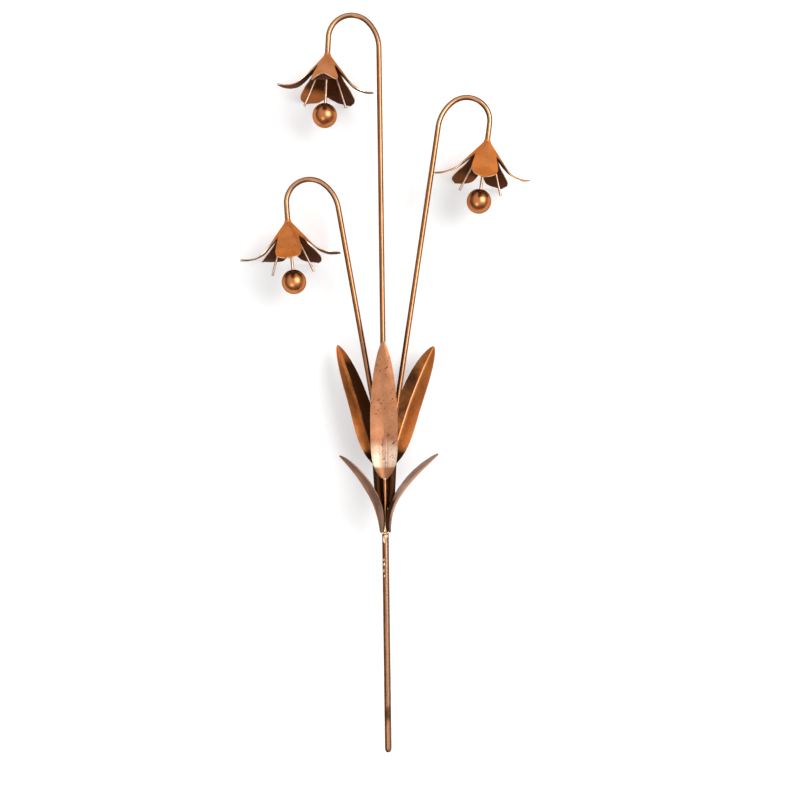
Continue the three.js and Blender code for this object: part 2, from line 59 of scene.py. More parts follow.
# Stake and collar
STAKE_LENGTH = 263.0
NOSE_LENGTH = 6.0
NOSE_FLAT_DIAMETER = 3.2
COLLAR_DIAMETER = 10.0
COLLAR_HEIGHT = 13.0

# Stems: the crooks are bent round formers, given as radii
CROOK_SHOULDER = {"angle": 45.0, "former": 41.825}
CROOK_FORMER = 24.525
DROP = 20.5
CENTRE_STEM = {"leg": 581.4, "crook": 175.6, "nod": 1.0}
FOOT_ABOVE_STAKE = 37.0
FOOT_STEP = {"angle": 10.0, "run": 8.0, "radius": 50.0, "back": 9.0}
SIDE_STEMS = {
    "right": {
        "side": 1, "upright": 35.0, "lean_radius": 400.0, "lean": 9.2,
        "leg": 346.4, "crook": 178.5, "nod": 1.0,
    },
    "left": {
        "side": -1, "upright": 70.0, "lean_radius": 300.0, "lean": 9.45,
        "leg": 227.4, "crook": 172.4, "nod": 3.2,
    },
}

# Bells: the petals are listed from the one towards the viewer, round by the right. A petal's wave is
# the height of its ripples, its glow is how strong the painted highlight inside it is towards the tip,
# and its roll is its slope across.
BELLS = {
    "centre": {
        "turns": (0, 88, 151, 209, 272), "flares": (100, 88, 80, 80, 104), "lengths": (75, 69, 72, 72, 69),
        "notches": (14, 19, 40, 19, 14), "waves": (1.3, 0.5, 0.7, 0.7, 0.6), "glows": (0, 0, 0, 0.76, 0.4),
        "rolls": (0, 0.18, 0, 0, -0.06),
    },
    "right": {
        "turns": (0, 88, 151, 212, 272), "flares": (62, 98, 86, 84, 79), "lengths": (75, 68, 71, 71, 70),
        "notches": (18, 19, 26, 19, 18), "waves": (0.5, 0.6, 0.7, 0.6, 0.5), "glows": (0, 0, 0.2, 0.45, 0),
        "rolls": (0, 0.24, 0, 0, -0.18),
    },
    "left": {
        "turns": (0, 86, 149, 217, 274), "flares": (70, 87, 78, 101, 94), "lengths": (75, 71, 70, 72, 72),
        "notches": (18, 19, 26, 19, 18), "waves": (0.5, 0.5, 0.6, 0.6, 0.6), "glows": (0, 0, 0.2, 0.2, 0),
        "rolls": (0, 0, 0, 0, -0.06),
    },
}
NECK_RISE = 0.5
NECK_EDGE = 0.3
NECK_BEND = 8.0
CONE_HALF_ANGLE = 39.0
CONE_DEPTH = 31.5
FLARE_LENGTH = 30.0
PETAL_HALF_WIDTH = 15.5
PETAL_TIP_HALF_WIDTH = 0.6
PETAL_SWELL = 0.5
PETAL_POINT = 0.8

# What hangs in a bell, as depths below the neck
SEAT_BOTTOM = 12.5
STEM_END_DEPTH = 8.2
SOCKET_DEPTH = 3.0
STAMEN_OFFSET = 5.2
STAMEN_SPLAY = 20.0
STAMEN_LENGTH = 58.0
STAPLE_DROP = 4.0
EYE_BORE_DIAMETER = 3.4
BALL_DIAMETER = 29.5
BALL_DEPTH = 74.0

# Leaves: each stands on a bar, above the top of the stake, and curves to its tip by way of a steering
# point. It faces its turn at the foot and its face at the tip. The folds are those of the base and of
# the blade, and the crease is the roundness of the fold. A foot spreads on its inner side, or is cut
# back on its front side to a share of its width.
LEAVES = {
    "front": {
        "bar": "centre", "above": 66, "turn": 0, "face": 0, "steer": (0, -14.2, 55),
        "tip": (0.8, -26.5, 163), "half": 16.4, "base_half": 4.2, "folds": (10, 8), "crease": 0.9, "rib": 0.9,
    },
    "upper_left": {
        "bar": "left", "above": 84, "turn": -180, "face": -175, "steer": (-18, 11.6, 72),
        "tip": (-46.4, 20.4, 143), "half": 15.5, "base_half": 5.2, "folds": (15, 38), "crease": 0.4,
        "tail": (2.1, 0, -55), "inner_side": -1,
    },
    "upper_right": {
        "bar": "right", "above": 84, "turn": 180, "face": 175, "steer": (19.4, 11.6, 76),
        "tip": (52.5, 22.4, 140), "half": 16, "base_half": 5.2, "folds": (15, 28), "crease": 0.12,
        "tail": (-2.1, 0, -55), "inner_side": 1,
    },
    "lower_left": {
        "bar": "collar", "above": 1, "turn": -60, "face": -60, "steer": (-3.9, -2.4, 50),
        "tip": (-47.3, -17.9, 93.5), "half": 11.7, "base_half": 6, "folds": (30, 18), "crease": 0.3,
        "front_side": 1, "foot_cut": 0.58,
    },
    "lower_right": {
        "bar": "collar", "above": 1, "turn": 75, "face": 55, "steer": (-2.5, -1.2, 46),
        "tip": (58.4, -8.6, 93.6), "half": 8.5, "base_half": 6, "folds": (30, 18), "crease": 0.3,
        "front_side": -1, "foot_cut": 0.9,
    },
}
FOLD_CHANGE = (0.15, 0.6)
TAIL_TAPER = 0.2
LEAF_POINT = 0.63
FOOT_SPREAD = 0.55
FOOT_SPREAD_ALONG = 0.12
FOOT_CUT_ALONG = 0.42
RIB_ALONG = (0.04, 0.16, 0.3, 0.55)
RIB_HALF_WIDTH = 1.6


def lerp(low, high, share):
    return low * (1 - share) + high * share


def smoothstep(value, low, high):
    share = min(max((value - low) / (high - low), 0.0), 1.0)
    return share * share * (3 - 2 * share)


def falling(value, low, high):
    return 1 - smoothstep(value, low, high)


def band(value, low, full, fading, gone):
    return smoothstep(value, low, full) * falling(value, fading, gone)


def ridge(value, middle, width):
    return math.exp(-(((value - middle) / width) ** 2))


def dent(place, depth, scale):
    """How far a hand-worked skin lies in or out at a place, by the scale of its dents."""
    return depth * noise.noise(place * scale)


class Graph:
    """Node building in a material or world."""

    def __init__(self, tree):
        self.tree = tree

    def node(self, kind, inputs=None, **settings):
        made = self.tree.nodes.new(kind)
        for name, value in settings.items():
            setattr(made, name, value)
        for name, value in (inputs or {}).items():
            if isinstance(value, bpy.types.NodeSocket):
                self.tree.links.new(value, made.inputs[name])
            else:
                made.inputs[name].default_value = value
        return made

    def math(self, operation, first, second=0.0):
        return self.node("ShaderNodeMath", {0: first, 1: second}, operation=operation).outputs[0]

    def spread(self, value, low, high, to_low=0.0, to_high=1.0):
        inputs = {"Value": value, "From Min": low, "From Max": high, "To Min": to_low, "To Max": to_high}
        return self.node("ShaderNodeMapRange", inputs, interpolation_type="SMOOTHSTEP").outputs[0]

    def mix(self, share, first, second, blend="MIX"):
        inputs = {"Factor": share, 6: first, 7: second}
        return self.node("ShaderNodeMix", inputs, data_type="RGBA", blend_type=blend).outputs[2]

    def noise(self, vector, scale, detail=3.0, roughness=0.6):
        inputs = {"Vector": vector, "Scale": scale, "Detail": detail, "Roughness": roughness}
        return self.node("ShaderNodeTexNoise", inputs).outputs["Fac"]

    def attribute(self, name, output):
        return self.node("ShaderNodeAttribute", attribute_name=name).outputs[output]

    def ramp(self, value, stops):
        """A grey ramp through (position, level) stops."""
        made = self.node("ShaderNodeValToRGB", {0: value})
        elements = made.color_ramp.elements
        while len(elements) < len(stops):
            elements.new(1.0)
        for element, (position, level) in zip(elements, stops):
            element.position = position
            element.color = (level, level, level, 1)
        return made.outputs[0]


# Copper: the colour drifts in patches and has a finer grain. An edge is the pair of noise levels
# between which a mark fades in.
WHITE = (1, 1, 1, 1)
EDGE_TINT = (0.55, 0.36, 0.25, 1)
SKIN_GLOSS = 0.15
DRIFT_DETAIL = 4.0
DRIFT_EDGE = (0.35, 0.65)
GRAINS_PER_PATCH = 9
GRAIN_SHARE = 0.5
GRAIN_SHADE = (0.62, 0.58, 0.55, 1)
GRAIN_EDGE = (0.25, 0.75)
GRAIN_RELIEF = 0.0001
# Dark colour for painted shade and oxide, and pale colour for painted highlights
SHADE_AND_OXIDE = (0.034, 0.0105, 0.0035)
SHADE_AND_OXIDE_METALLIC = 0.4
SHADE_AND_OXIDE_ROUGHNESS = 0.5
PAINTED_HIGHLIGHT = (0.96, 0.76, 0.60)
COVER_BREAKING = 0.5
COVER_EDGE = (0.2, 0.8)
STREAK_SCALE = (0.8, 0.8, 0.015)
STREAK_SHADE = (0.35, 0.3, 0.27, 1)
SPECKS = {"scale": 620.0, "detail": 2.0, "roughness": 0.5}
SPECK_LEAST = 0.63
SPECK_FADE = 0.07
SPECK_GROUP_EDGE = (0.38, 0.55)
SPECK_COLOUR = (0.09, 0.045, 0.025, 1)
DASH_LEAST = 0.605
DASH_SLANT = math.radians(48)
DASH_STRETCH = 2.6


def speck_cover(graph, place, drift, dashes):
    """Share of the dark specks, or slanting dashes, that lie in groups on the drifting colour."""
    if dashes:
        stretch = {"Vector": place, "Rotation": (0, DASH_SLANT, 0), "Scale": (1, 1, DASH_STRETCH)}
        place = graph.node("ShaderNodeMapping", stretch, vector_type="TEXTURE").outputs[0]
    spots = graph.noise(place, **SPECKS)
    least = DASH_LEAST if dashes else SPECK_LEAST
    dark = graph.spread(spots, least, least + SPECK_FADE)
    return graph.math("MULTIPLY", dark, graph.spread(drift, *SPECK_GROUP_EDGE))


def copper(
    name, colour, shade, patch, roughness, speckle=0.0, streak=0.0, shade_and_oxide=SHADE_AND_OXIDE, painted_highlight=PAINTED_HIGHLIGHT, metallic=1.0,
    dashes=False, bump=0.3,
):
    """Worked copper: its colour drifts to a shade in patches, with dark specks and drawing streaks.

    The patch is the size of the drift, in metres, and the roughness is a pair to drift between. Where
    the mesh says so, the sheet goes to a dark colour of painted shade and oxide, or to a pale colour of
    painted highlights.
    """
    material = bpy.data.materials.new(name)
    material.use_nodes = True
    graph = Graph(material.node_tree)
    metal = material.node_tree.nodes["Principled BSDF"]
    metal.inputs["Specular Tint"].default_value = EDGE_TINT
    metal.inputs["Specular IOR Level"].default_value = SKIN_GLOSS
    place = graph.node("ShaderNodeTexCoord").outputs["Object"]
    drift = graph.noise(place, 1 / patch, DRIFT_DETAIL)
    grain = graph.noise(place, GRAINS_PER_PATCH / patch)
    tone = graph.mix(graph.spread(drift, *DRIFT_EDGE), (*colour, 1), (*shade, 1))
    tone = graph.mix(GRAIN_SHARE, tone, graph.mix(grain, GRAIN_SHADE, WHITE), "MULTIPLY")
    breaking = graph.math("MULTIPLY", graph.math("SUBTRACT", drift, 0.5), COVER_BREAKING)
    covers = {}
    # The first cover is the dark of painted shade and oxide, the second the pale of painted highlights
    for layer, look in (("shade_and_oxide", shade_and_oxide), ("painted_highlight", painted_highlight)):
        broken = graph.math("ADD", graph.attribute(layer, "Fac"), breaking)
        covers[layer] = graph.spread(broken, *COVER_EDGE)
        tone = graph.mix(covers[layer], tone, (*look, 1))
    if streak:
        scaled = {0: graph.attribute("drawn", "Vector"), 1: STREAK_SCALE}
        on_bar = graph.node("ShaderNodeVectorMath", scaled, operation="MULTIPLY").outputs[0]
        lines = graph.noise(on_bar, 1.0)
        tone = graph.mix(streak, tone, graph.mix(lines, STREAK_SHADE, WHITE), "MULTIPLY")
    if speckle:
        specks = speck_cover(graph, place, drift, dashes)
        tone = graph.mix(graph.math("MULTIPLY", specks, speckle), tone, SPECK_COLOUR)
    skin = graph.spread(grain, *GRAIN_EDGE, *roughness)
    dark_layer_roughness = graph.math("MULTIPLY", covers["shade_and_oxide"], SHADE_AND_OXIDE_ROUGHNESS)
    relief = {"Height": grain, "Strength": bump, "Distance": GRAIN_RELIEF}
    links = {
        "Base Color": tone,
        "Metallic": graph.spread(covers["shade_and_oxide"], 0, 1, metallic, SHADE_AND_OXIDE_METALLIC),
        "Roughness": graph.math("MAXIMUM", skin, dark_layer_roughness),
        "Normal": graph.node("ShaderNodeBump", relief).outputs[0],
    }
    for socket, value in links.items():
        graph.tree.links.new(value, metal.inputs[socket])
    return material


# Each copper's dark colour is for painted shade and oxide, and its pale one for painted highlights
STEM_COPPER = copper(
    "stem_copper", (0.46, 0.20, 0.088), (0.385, 0.16, 0.067), 0.05, (0.18, 0.25), streak=0.2,
    shade_and_oxide=(0.06, 0.02, 0.007), painted_highlight=(0.73, 0.47, 0.28), bump=0.05,
)
STAKE_COPPER = copper(
    "stake_copper", (0.37, 0.155, 0.072), (0.25, 0.10, 0.045), 0.02, (0.24, 0.36), speckle=0.4, streak=0.4,
    shade_and_oxide=(0.07, 0.025, 0.008), painted_highlight=(0.62, 0.37, 0.23), bump=0.15,
)
WIRE_COPPER = copper(
    "wire_copper", (0.66, 0.43, 0.30), (0.54, 0.33, 0.22), 0.03, (0.26, 0.34), streak=0.3,
    shade_and_oxide=(0.10, 0.04, 0.02), bump=0.05,
)
PETAL_FACE = copper(
    "petal_face", (0.81, 0.285, 0.08), (0.69, 0.24, 0.075), 0.02, (0.44, 0.56), speckle=0.9,
)
PALE_PETAL_FACE = copper(
    "pale_petal_face", (0.74, 0.32, 0.15), (0.66, 0.26, 0.10), 0.02, (0.40, 0.54), speckle=0.6,
)
# The insides of the bells are dark with painted shade over some oxide, with painted highlights towards the
# petal tips
PETAL_INSIDE = copper(
    "petal_inside", (0.095, 0.029, 0.009), (0.06, 0.018, 0.005), 0.02, (0.40, 0.52), speckle=0.5,
    painted_highlight=(0.42, 0.135, 0.038), metallic=0.6,
)
LEAF_FACE = copper(
    "leaf_face", (0.46, 0.20, 0.10), (0.40, 0.168, 0.08), 0.03, (0.32, 0.42), speckle=1.0,
    painted_highlight=(0.96, 0.72, 0.55), dashes=True,
)
LOWER_LEAF_FACE = copper(
    "lower_leaf_face", (0.46, 0.25, 0.17), (0.35, 0.20, 0.142), 0.03, (0.34, 0.46), speckle=0.4,
    painted_highlight=(0.84, 0.53, 0.40),
)
LEAF_INSIDE = copper(
    "leaf_inside", (0.84, 0.32, 0.09), (0.73, 0.265, 0.072), 0.03, (0.42, 0.54), speckle=0.3,
)
SHEET_RIM = copper("sheet_rim", (0.92, 0.66, 0.44), (0.80, 0.52, 0.32), 0.02, (0.24, 0.34))
BALL_COPPER = copper(
    "ball_copper", (0.66, 0.245, 0.092), (0.56, 0.205, 0.08), 0.02, (0.26, 0.33), speckle=0.3, bump=0.06,
)
BRAZE = copper("braze", (0.86, 0.64, 0.44), (0.55, 0.34, 0.21), 0.008, (0.2, 0.42), speckle=0.4)


# Meshes
SHARP_ANGLE = 40.0
WELD_DECIMALS = 4
OUTSIDE, INSIDE, RIM = range(3)


def added(name, data):
    """A new object in the scene."""
    made = bpy.data.objects.new(name, data)
    bpy.context.scene.collection.objects.link(made)
    return made


def piece(name, body, slot, nodes, materials, points, faces, finish=None, drawn=None, painted_light_and_oxide=None):
    """One mesh of the object, in millimetres, that stands for CAD nodes and rides on a body.

    The finish is the number of a material for each face. The painted light and oxide is a pair of
    shares for each point: how far it goes dark, with painted shade and oxide, and how far it takes a
    painted highlight.
    """
    mesh = bpy.data.meshes.new(name)
    mesh.from_pydata([tuple(point * MM for point in place) for place in points], [], faces)
    for material in materials:
        mesh.materials.append(material)
    if finish:
        mesh.polygons.foreach_set("material_index", finish)
    if drawn:
        layer = mesh.attributes.new("drawn", "FLOAT_VECTOR", "POINT")
        layer.data.foreach_set("vector", [value for vector in drawn for value in vector])
    if painted_light_and_oxide:
        for layer_name, values in zip(("shade_and_oxide", "painted_highlight"), zip(*painted_light_and_oxide)):
            layer = mesh.attributes.new(layer_name, "FLOAT", "POINT")
            layer.data.foreach_set("value", values)
    mesh.polygons.foreach_set("use_smooth", [True] * len(mesh.polygons))
    mesh.set_sharp_from_angle(angle=math.radians(SHARP_ANGLE))
    made = added(name, mesh)
    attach(made, body)
    if nodes:
        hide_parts(*nodes)


def welded(points, faces, finish, painted_light_and_oxide):
    """Joins points that lie on each other, so that sheets made petal by petal are one sheet."""
    known = {}
    keys = [tuple(round(value, WELD_DECIMALS) for value in point) for point in points]
    for key, point, shares in zip(keys, points, painted_light_and_oxide):
        known.setdefault(key, (len(known), point, shares))
    kept, new_finish = [], []
    for face, look in zip(faces, finish):
        corners = list(dict.fromkeys(known[keys[corner]][0] for corner in face))
        if len(corners) > 2:
            kept.append(corners)
            new_finish.append(look)
    _, new_points, new_patina = zip(*known.values())
    return new_points, kept, new_finish, new_patina


def circle(steps):
    """The (cosine, sine) of equal steps round a circle."""
    turns = [2 * math.pi * step / steps for step in range(steps)]
    return [(math.cos(turn), math.sin(turn)) for turn in turns]


def ring_faces(rings, sides, closed=False):
    """Faces between rings of points. A closed tube runs on from its last ring to its first, and any
    other has its two ends closed flat."""
    faces = []
    for ring in range(rings if closed else rings - 1):
        low, high = ring * sides, (ring + 1) % rings * sides
        for side in range(sides):
            follow = (side + 1) % sides
            faces.append((low + side, low + follow, high + follow, high + side))
    if not closed:
        last = (rings - 1) * sides
        faces += [tuple(reversed(range(sides))), tuple(range(last, last + sides))]
    return faces


def shifted(faces, start):
    return [tuple(start + corner for corner in face) for face in faces]


def sheet_faces(rows, columns, left_from=0, right_from=0, flipped=False):
    """Faces and finishes of a sheet of two layers of points, its outside and then its inside.

    The rows and columns are counts of faces. Both ends have a rim, and each side has one from a row
    on. A flipped sheet has its outside on the other side of its rows.
    """
    width = columns + 1
    layer = (rows + 1) * width
    last = rows * width
    faces = []
    finish = []

    def quad(look, a, b, c, d):
        faces.append((a, d, c, b) if flipped else (a, b, c, d))
        finish.append(look)

    for row in range(rows):
        for column in range(columns):
            outer = row * width + column
            inner = outer + layer
            quad(OUTSIDE, outer, outer + width, outer + width + 1, outer + 1)
            quad(INSIDE, inner, inner + 1, inner + width + 1, inner + width)
        left, right = row * width, row * width + columns
        if row >= left_from:
            quad(RIM, left, left + layer, left + layer + width, left + width)
        if row >= right_from:
            quad(RIM, right, right + width, right + width + layer, right + layer)
    for column in range(columns):
        start, end = column, last + column
        quad(RIM, start, start + 1, start + 1 + layer, start + layer)
        quad(RIM, end, end + layer, end + layer + 1, end + 1)
    return faces, finish


# Bars: each flank has the direction that it faces, and the edge and strength of its painted shade. The
# outline is painted shade round a bar's edges, and the stripe a painted highlight along its front.
RUN_STEP = 12.0
TURN_STEP = 3.0
WIRE_STEP = 6.0
BAR_SIDES = 32
TURNED_SIDES = 48
BAR_EASE = 0.4
END_ROUNDING = ((0.0, 0.55), (0.3, 0.87), (0.65, 0.97), (1.0, 1.0))  # shares of the ease and of the radius
FLANKS = (
    {"way": Vector((-0.85, 0.2, -0.45)).normalized(), "edge": (0.4, 0.82), "shade_and_oxide": 1.0},
    {"way": Vector((0.9, 0.2, 0.2)).normalized(), "edge": (0.5, 0.9), "shade_and_oxide": 0.6},
)
OUTLINE = {"edge": (0.8, 0.97), "shade_and_oxide": 0.85}
STEM_STRIPE = {"way": Vector((-0.08, -1.0, 0.0)).normalized(), "edge": (0.86, 0.98), "painted_highlight": 0.45}
STAKE_STRIPE = {"way": Vector((0.34, -0.94, 0.0)).normalized(), "edge": (0.90, 0.99), "painted_highlight": 0.72}
# Painted shade on the side stems' feet and on their inner flanks behind the leaves, and a painted highlight
# that is brighter on the crooks than on the legs
DARK_FOOT = (368.0, 398.0)
BEHIND_LEAVES = {"height": (480.0, 560.0), "edge": (-0.1, 0.45), "shade_and_oxide": 0.9}
CROOK_BELOW_TOP = (30.0, 60.0)
CROOK_HIGHLIGHT = 1.25
LEG_HIGHLIGHT = 0.5


def bend(angle, radius):
    return abs(math.radians(angle)) * radius, angle


def bent_line(x, z, heading, moves):
    """Stations (x, z, heading, distance along) of a bar bent in one plane by moves (length, turn)."""
    stations = [(x, z, heading, 0.0)]
    along = 0.0
    for length, turn in moves:
        steps = max(math.ceil(length / RUN_STEP), math.ceil(abs(turn) / TURN_STEP))
        half_turn = math.radians(turn) / steps / 2
        chord = length / steps * (math.sin(half_turn) / half_turn if half_turn else 1.0)
        for _ in range(steps):
            way = math.radians(heading) + half_turn
            x += chord * math.sin(way)
            z += chord * math.cos(way)
            heading += turn / steps
            along += length / steps
            stations.append((x, z, heading, along))
    return stations


def crook(side, stem):
    """Moves of a stem's crook, gentle at its shoulder and then round, and of its end in the bell."""
    shoulder = CROOK_SHOULDER["angle"]
    return [
        bend(side * shoulder, CROOK_SHOULDER["former"] + STEM_DIAMETER / 2),
        bend(side * (stem["crook"] - shoulder), CROOK_FORMER + STEM_DIAMETER / 2),
        (DROP, side * stem["nod"]),
        (STEM_END_DEPTH, 0.0),
    ]


def centre_line():
    moves = [(CENTRE_STEM["leg"], 0.0), *crook(-1, CENTRE_STEM)]
    return bent_line(0.0, STAKE_LENGTH + CLEARANCE, 0.0, moves)


def side_line(stem):
    side = stem["side"]
    lean_left = stem["lean"] - (FOOT_STEP["angle"] - FOOT_STEP["back"])
    moves = [
        (FOOT_STEP["run"], 0.0),
        bend(-side * FOOT_STEP["back"], FOOT_STEP["radius"]),
        (stem["upright"], 0.0),
        bend(side * lean_left, stem["lean_radius"]),
        (stem["leg"], 0.0),
        *crook(side, stem),
    ]
    x = side * (STEM_DIAMETER + CLEARANCE)
    return bent_line(x, STAKE_LENGTH + FOOT_ABOVE_STAKE, side * FOOT_STEP["angle"], moves)


stem_lines = {"centre": centre_line()}
for flower in SIDE_STEMS:
    stem_lines[flower] = side_line(SIDE_STEMS[flower])


def flank_shade_and_highlight(normal, _place, stripe=STEM_STRIPE):
    """Painted shade on the flanks and outline of a bar, and a painted highlight stripe along its front."""
    shade_and_oxide = OUTLINE["shade_and_oxide"] * smoothstep(math.hypot(normal.x, normal.z), *OUTLINE["edge"])
    for flank in FLANKS:
        shade_and_oxide = max(shade_and_oxide, flank["shade_and_oxide"] * smoothstep(normal.dot(flank["way"]), *flank["edge"]))
    return shade_and_oxide, stripe["painted_highlight"] * smoothstep(normal.dot(stripe["way"]), *stripe["edge"])


def stem_shade_and_highlight(line, side):
    """A stem's flanks, with a painted highlight that is brighter on its crook than on its leg.

    A stem that leans to a side has painted shade at its foot and behind the leaves.
    """
    top = max(z for _, z, _, _ in line)

    def shade_and_highlight_at(normal, place):
        foot = abs(side) * falling(place.z, *DARK_FOOT)
        behind = BEHIND_LEAVES["shade_and_oxide"] * abs(side) * falling(place.z, *BEHIND_LEAVES["height"])
        inner = behind * smoothstep(-side * normal.x, *BEHIND_LEAVES["edge"])
        on_leg = smoothstep(top - place.z, *CROOK_BELOW_TOP)
        shade_and_oxide, painted_highlight = flank_shade_and_highlight(normal, place)
        painted_highlight *= lerp(CROOK_HIGHLIGHT, LEG_HIGHLIGHT, on_leg)
        return max(shade_and_oxide, foot, inner), painted_highlight * (1 - max(foot, inner))

    return shade_and_highlight_at


def tube(rings, sides=BAR_SIDES, shade_and_highlight_at=flank_shade_and_highlight):
    """Mesh of a bar through rings of (middle, first axis, second axis, distance along, radius)."""
    points = []
    drawn = []
    painted_light_and_oxide = []
    for middle, first, second, along, radius in rings:
        for cosine, sine in circle(sides):
            normal = first * cosine + second * sine
            points.append(middle + normal * radius)
            drawn.append((radius * cosine, radius * sine, along))
            painted_light_and_oxide.append(shade_and_highlight_at(normal, middle))
    return {"points": points, "faces": ring_faces(len(rings), sides), "drawn": drawn, "painted_light_and_oxide": painted_light_and_oxide}


def eased_rings(stations, radius):
    """Rings of a bar through stations (middle, first axis, second axis, distance along), with more
    rings that round its two ends."""

    def end_rings(end, follow):
        rings = []
        for share, size in END_ROUNDING:
            at = BAR_EASE * share / (follow[0] - end[0]).length
            rings.append((*(lerp(a, b, at) for a, b in zip(end, follow)), radius * size))
        return rings

    middle = [(*station, radius) for station in stations[1:-1]]
    return end_rings(*stations[:2]) + middle + end_rings(*stations[:-3:-1])[::-1]


def bent_rings(stations, radius):
    """Rings of a bent bar."""
    placed = []
    for x, z, heading, along in stations:
        turn = math.radians(heading)
        side = Vector((math.cos(turn), 0.0, -math.sin(turn)))
        placed.append((Vector((x, 0.0, z)), side, Vector((0.0, 1.0, 0.0)), along))
    return eased_rings(placed, radius)


def straight_rings(start, end, radius):
    """Rings of a straight bar between two points."""
    way = end - start
    steps = max(2, math.ceil(way.length / WIRE_STEP))
    first = way.cross(Vector((0, 1, 0))).normalized()
    second = way.cross(first).normalized()
    placed = [(start + way * (at / steps), first, second, way.length * at / steps) for at in range(steps + 1)]
    return eased_rings(placed, radius)


def stem_piece(flower):
    line = stem_lines[flower]
    side = SIDE_STEMS[flower]["side"] if flower in SIDE_STEMS else 0
    rings = bent_rings(line, STEM_DIAMETER / 2)
    mesh = tube(rings, shade_and_highlight_at=stem_shade_and_highlight(line, side))
    piece(f"stem_bar_{flower}", "frame", "stem", [f"stem_{flower}"], [STEM_COPPER], **mesh)


for flower in FLOWERS:
    stem_piece(flower)


def turned(profile, sides=TURNED_SIDES, ring=False):
    """Points and faces of a profile of (radius, height) turned round Z, or of a ring's profile, which
    runs on from its end to its start."""
    points = []
    for radius, height in profile:
        points += [Vector((radius * cosine, radius * sine, height)) for cosine, sine in circle(sides)]
    return points, ring_faces(len(profile), sides, closed=ring)


# Stake
NOSE_STEP = 10
STAKE_STEP = 4.0
STAKE_SCUFF = (34.0, 42.0, 52.0, 60.0)
STAKE_SCUFF_OXIDE = 0.6
STAKE_DENT = (0.10, 0.35)


def stake_piece():
    """The ground stake: a bar with a blunt nose, whose skin is a little dented."""
    radius = STAKE_DIAMETER / 2
    flat = NOSE_FLAT_DIAMETER / 2
    profile = [(flat, 0.0)]
    for degrees in range(NOSE_STEP, 91, NOSE_STEP):
        turn = math.radians(degrees)
        profile.append((flat + (radius - flat) * math.sin(turn), NOSE_LENGTH * (1 - math.cos(turn))))
    height = NOSE_LENGTH
    while height < STAKE_LENGTH - RUN_STEP:
        height += STAKE_STEP
        profile.append((radius, height))
    profile += [(radius, STAKE_LENGTH - BAR_EASE), (radius - BAR_EASE, STAKE_LENGTH)]
    points, faces = turned(profile)
    drawn = [tuple(point) for point in points]
    painted_light_and_oxide = []
    for point in points:
        # Painted shade on the flanks and a painted highlight stripe down the front of the stake
        shade_and_oxide, painted_highlight = flank_shade_and_highlight(Vector((point.x, point.y, 0.0)).normalized(), point, STAKE_STRIPE)
        scuffed = STAKE_SCUFF_OXIDE * band(point.z, *STAKE_SCUFF)
        painted_light_and_oxide.append((max(shade_and_oxide, scuffed), painted_highlight * (1 - scuffed)))
        scale = 1 + dent(point, *STAKE_DENT) / radius
        point.x *= scale
        point.y *= scale
    mesh = {"points": points, "faces": faces, "drawn": drawn, "painted_light_and_oxide": painted_light_and_oxide}
    piece("stake_bar", "frame", "stake", ["stake"], [STAKE_COPPER], **mesh)


stake_piece()


# Bells
CONE_ANGLE = math.radians(CONE_HALF_ANGLE)
NECK_LENGTH = NECK_BEND * CONE_ANGLE
NECK_RADIUS = STEM_DIAMETER / 2 + CLEARANCE + NECK_EDGE / 2
CONE_TOP_RADIUS = NECK_RADIUS + NECK_BEND * (1 - math.cos(CONE_ANGLE))
CONE_TOP_DEPTH = NECK_BEND * math.sin(CONE_ANGLE) - NECK_RISE
CONE_LENGTH = (CONE_DEPTH - CONE_TOP_DEPTH) / math.cos(CONE_ANGLE)
NECK_ROWS = 6
CONE_ROWS = 8
PETAL_ROWS = 26
PETAL_COLUMNS = 18
NOTCH_STEP = 3.0
PETAL_FLATNESS = 0.8
PETAL_FLATTENED_OVER = 18.0
PETAL_LOOSE_END = 0.3  # share of the free length, at the tip, that has the full wave and roll
RIPPLES = ((1.0, 2.6, 1.9, 0.0), (0.6, 5.3, 2.3, 0.07))  # height, waves across, shift by petal, slant
BELL_DENT = (0.22, 0.12)
BELL_DENT_ALONG = (0.0, 12.0)
BELL_DENT_SHIFT = 40
GLOW_ALONG = (0.4, 0.75)
BELL_SEED_STEP = 7


def bell_profile(along, flare):
    """Radius, depth, angle from the axis and thickness of a bell, by the distance along the sheet."""
    if along < 0:
        angle = CONE_ANGLE + along / NECK_BEND
        radius = NECK_RADIUS + NECK_BEND * (1 - math.cos(angle))
        depth = NECK_BEND * math.sin(angle) - NECK_RISE
        return radius, depth, angle, SHEET + (along / NECK_LENGTH) * (SHEET - NECK_EDGE)
    on_cone = min(along, CONE_LENGTH)
    on_flare = min(max(along - CONE_LENGTH, 0.0), FLARE_LENGTH)
    past_flare = max(along - CONE_LENGTH - FLARE_LENGTH, 0.0)
    curve = FLARE_LENGTH / (flare - CONE_ANGLE)
    angle = CONE_ANGLE + on_flare / curve
    radius = CONE_TOP_RADIUS + on_cone * math.sin(CONE_ANGLE)
    radius += curve * (math.cos(CONE_ANGLE) - math.cos(angle)) + past_flare * math.sin(angle)
    depth = CONE_TOP_DEPTH + on_cone * math.cos(CONE_ANGLE)
    depth += curve * (math.sin(angle) - math.sin(CONE_ANGLE)) + past_flare * math.cos(angle)
    return radius, depth, angle, SHEET


def along_at_radius(target, flare):
    low, high = 0.0, 2 * target
    while high - low > 1e-6:
        middle = (low + high) / 2
        if bell_profile(middle, flare)[0] < target:
            low = middle
        else:
            high = middle
    return high


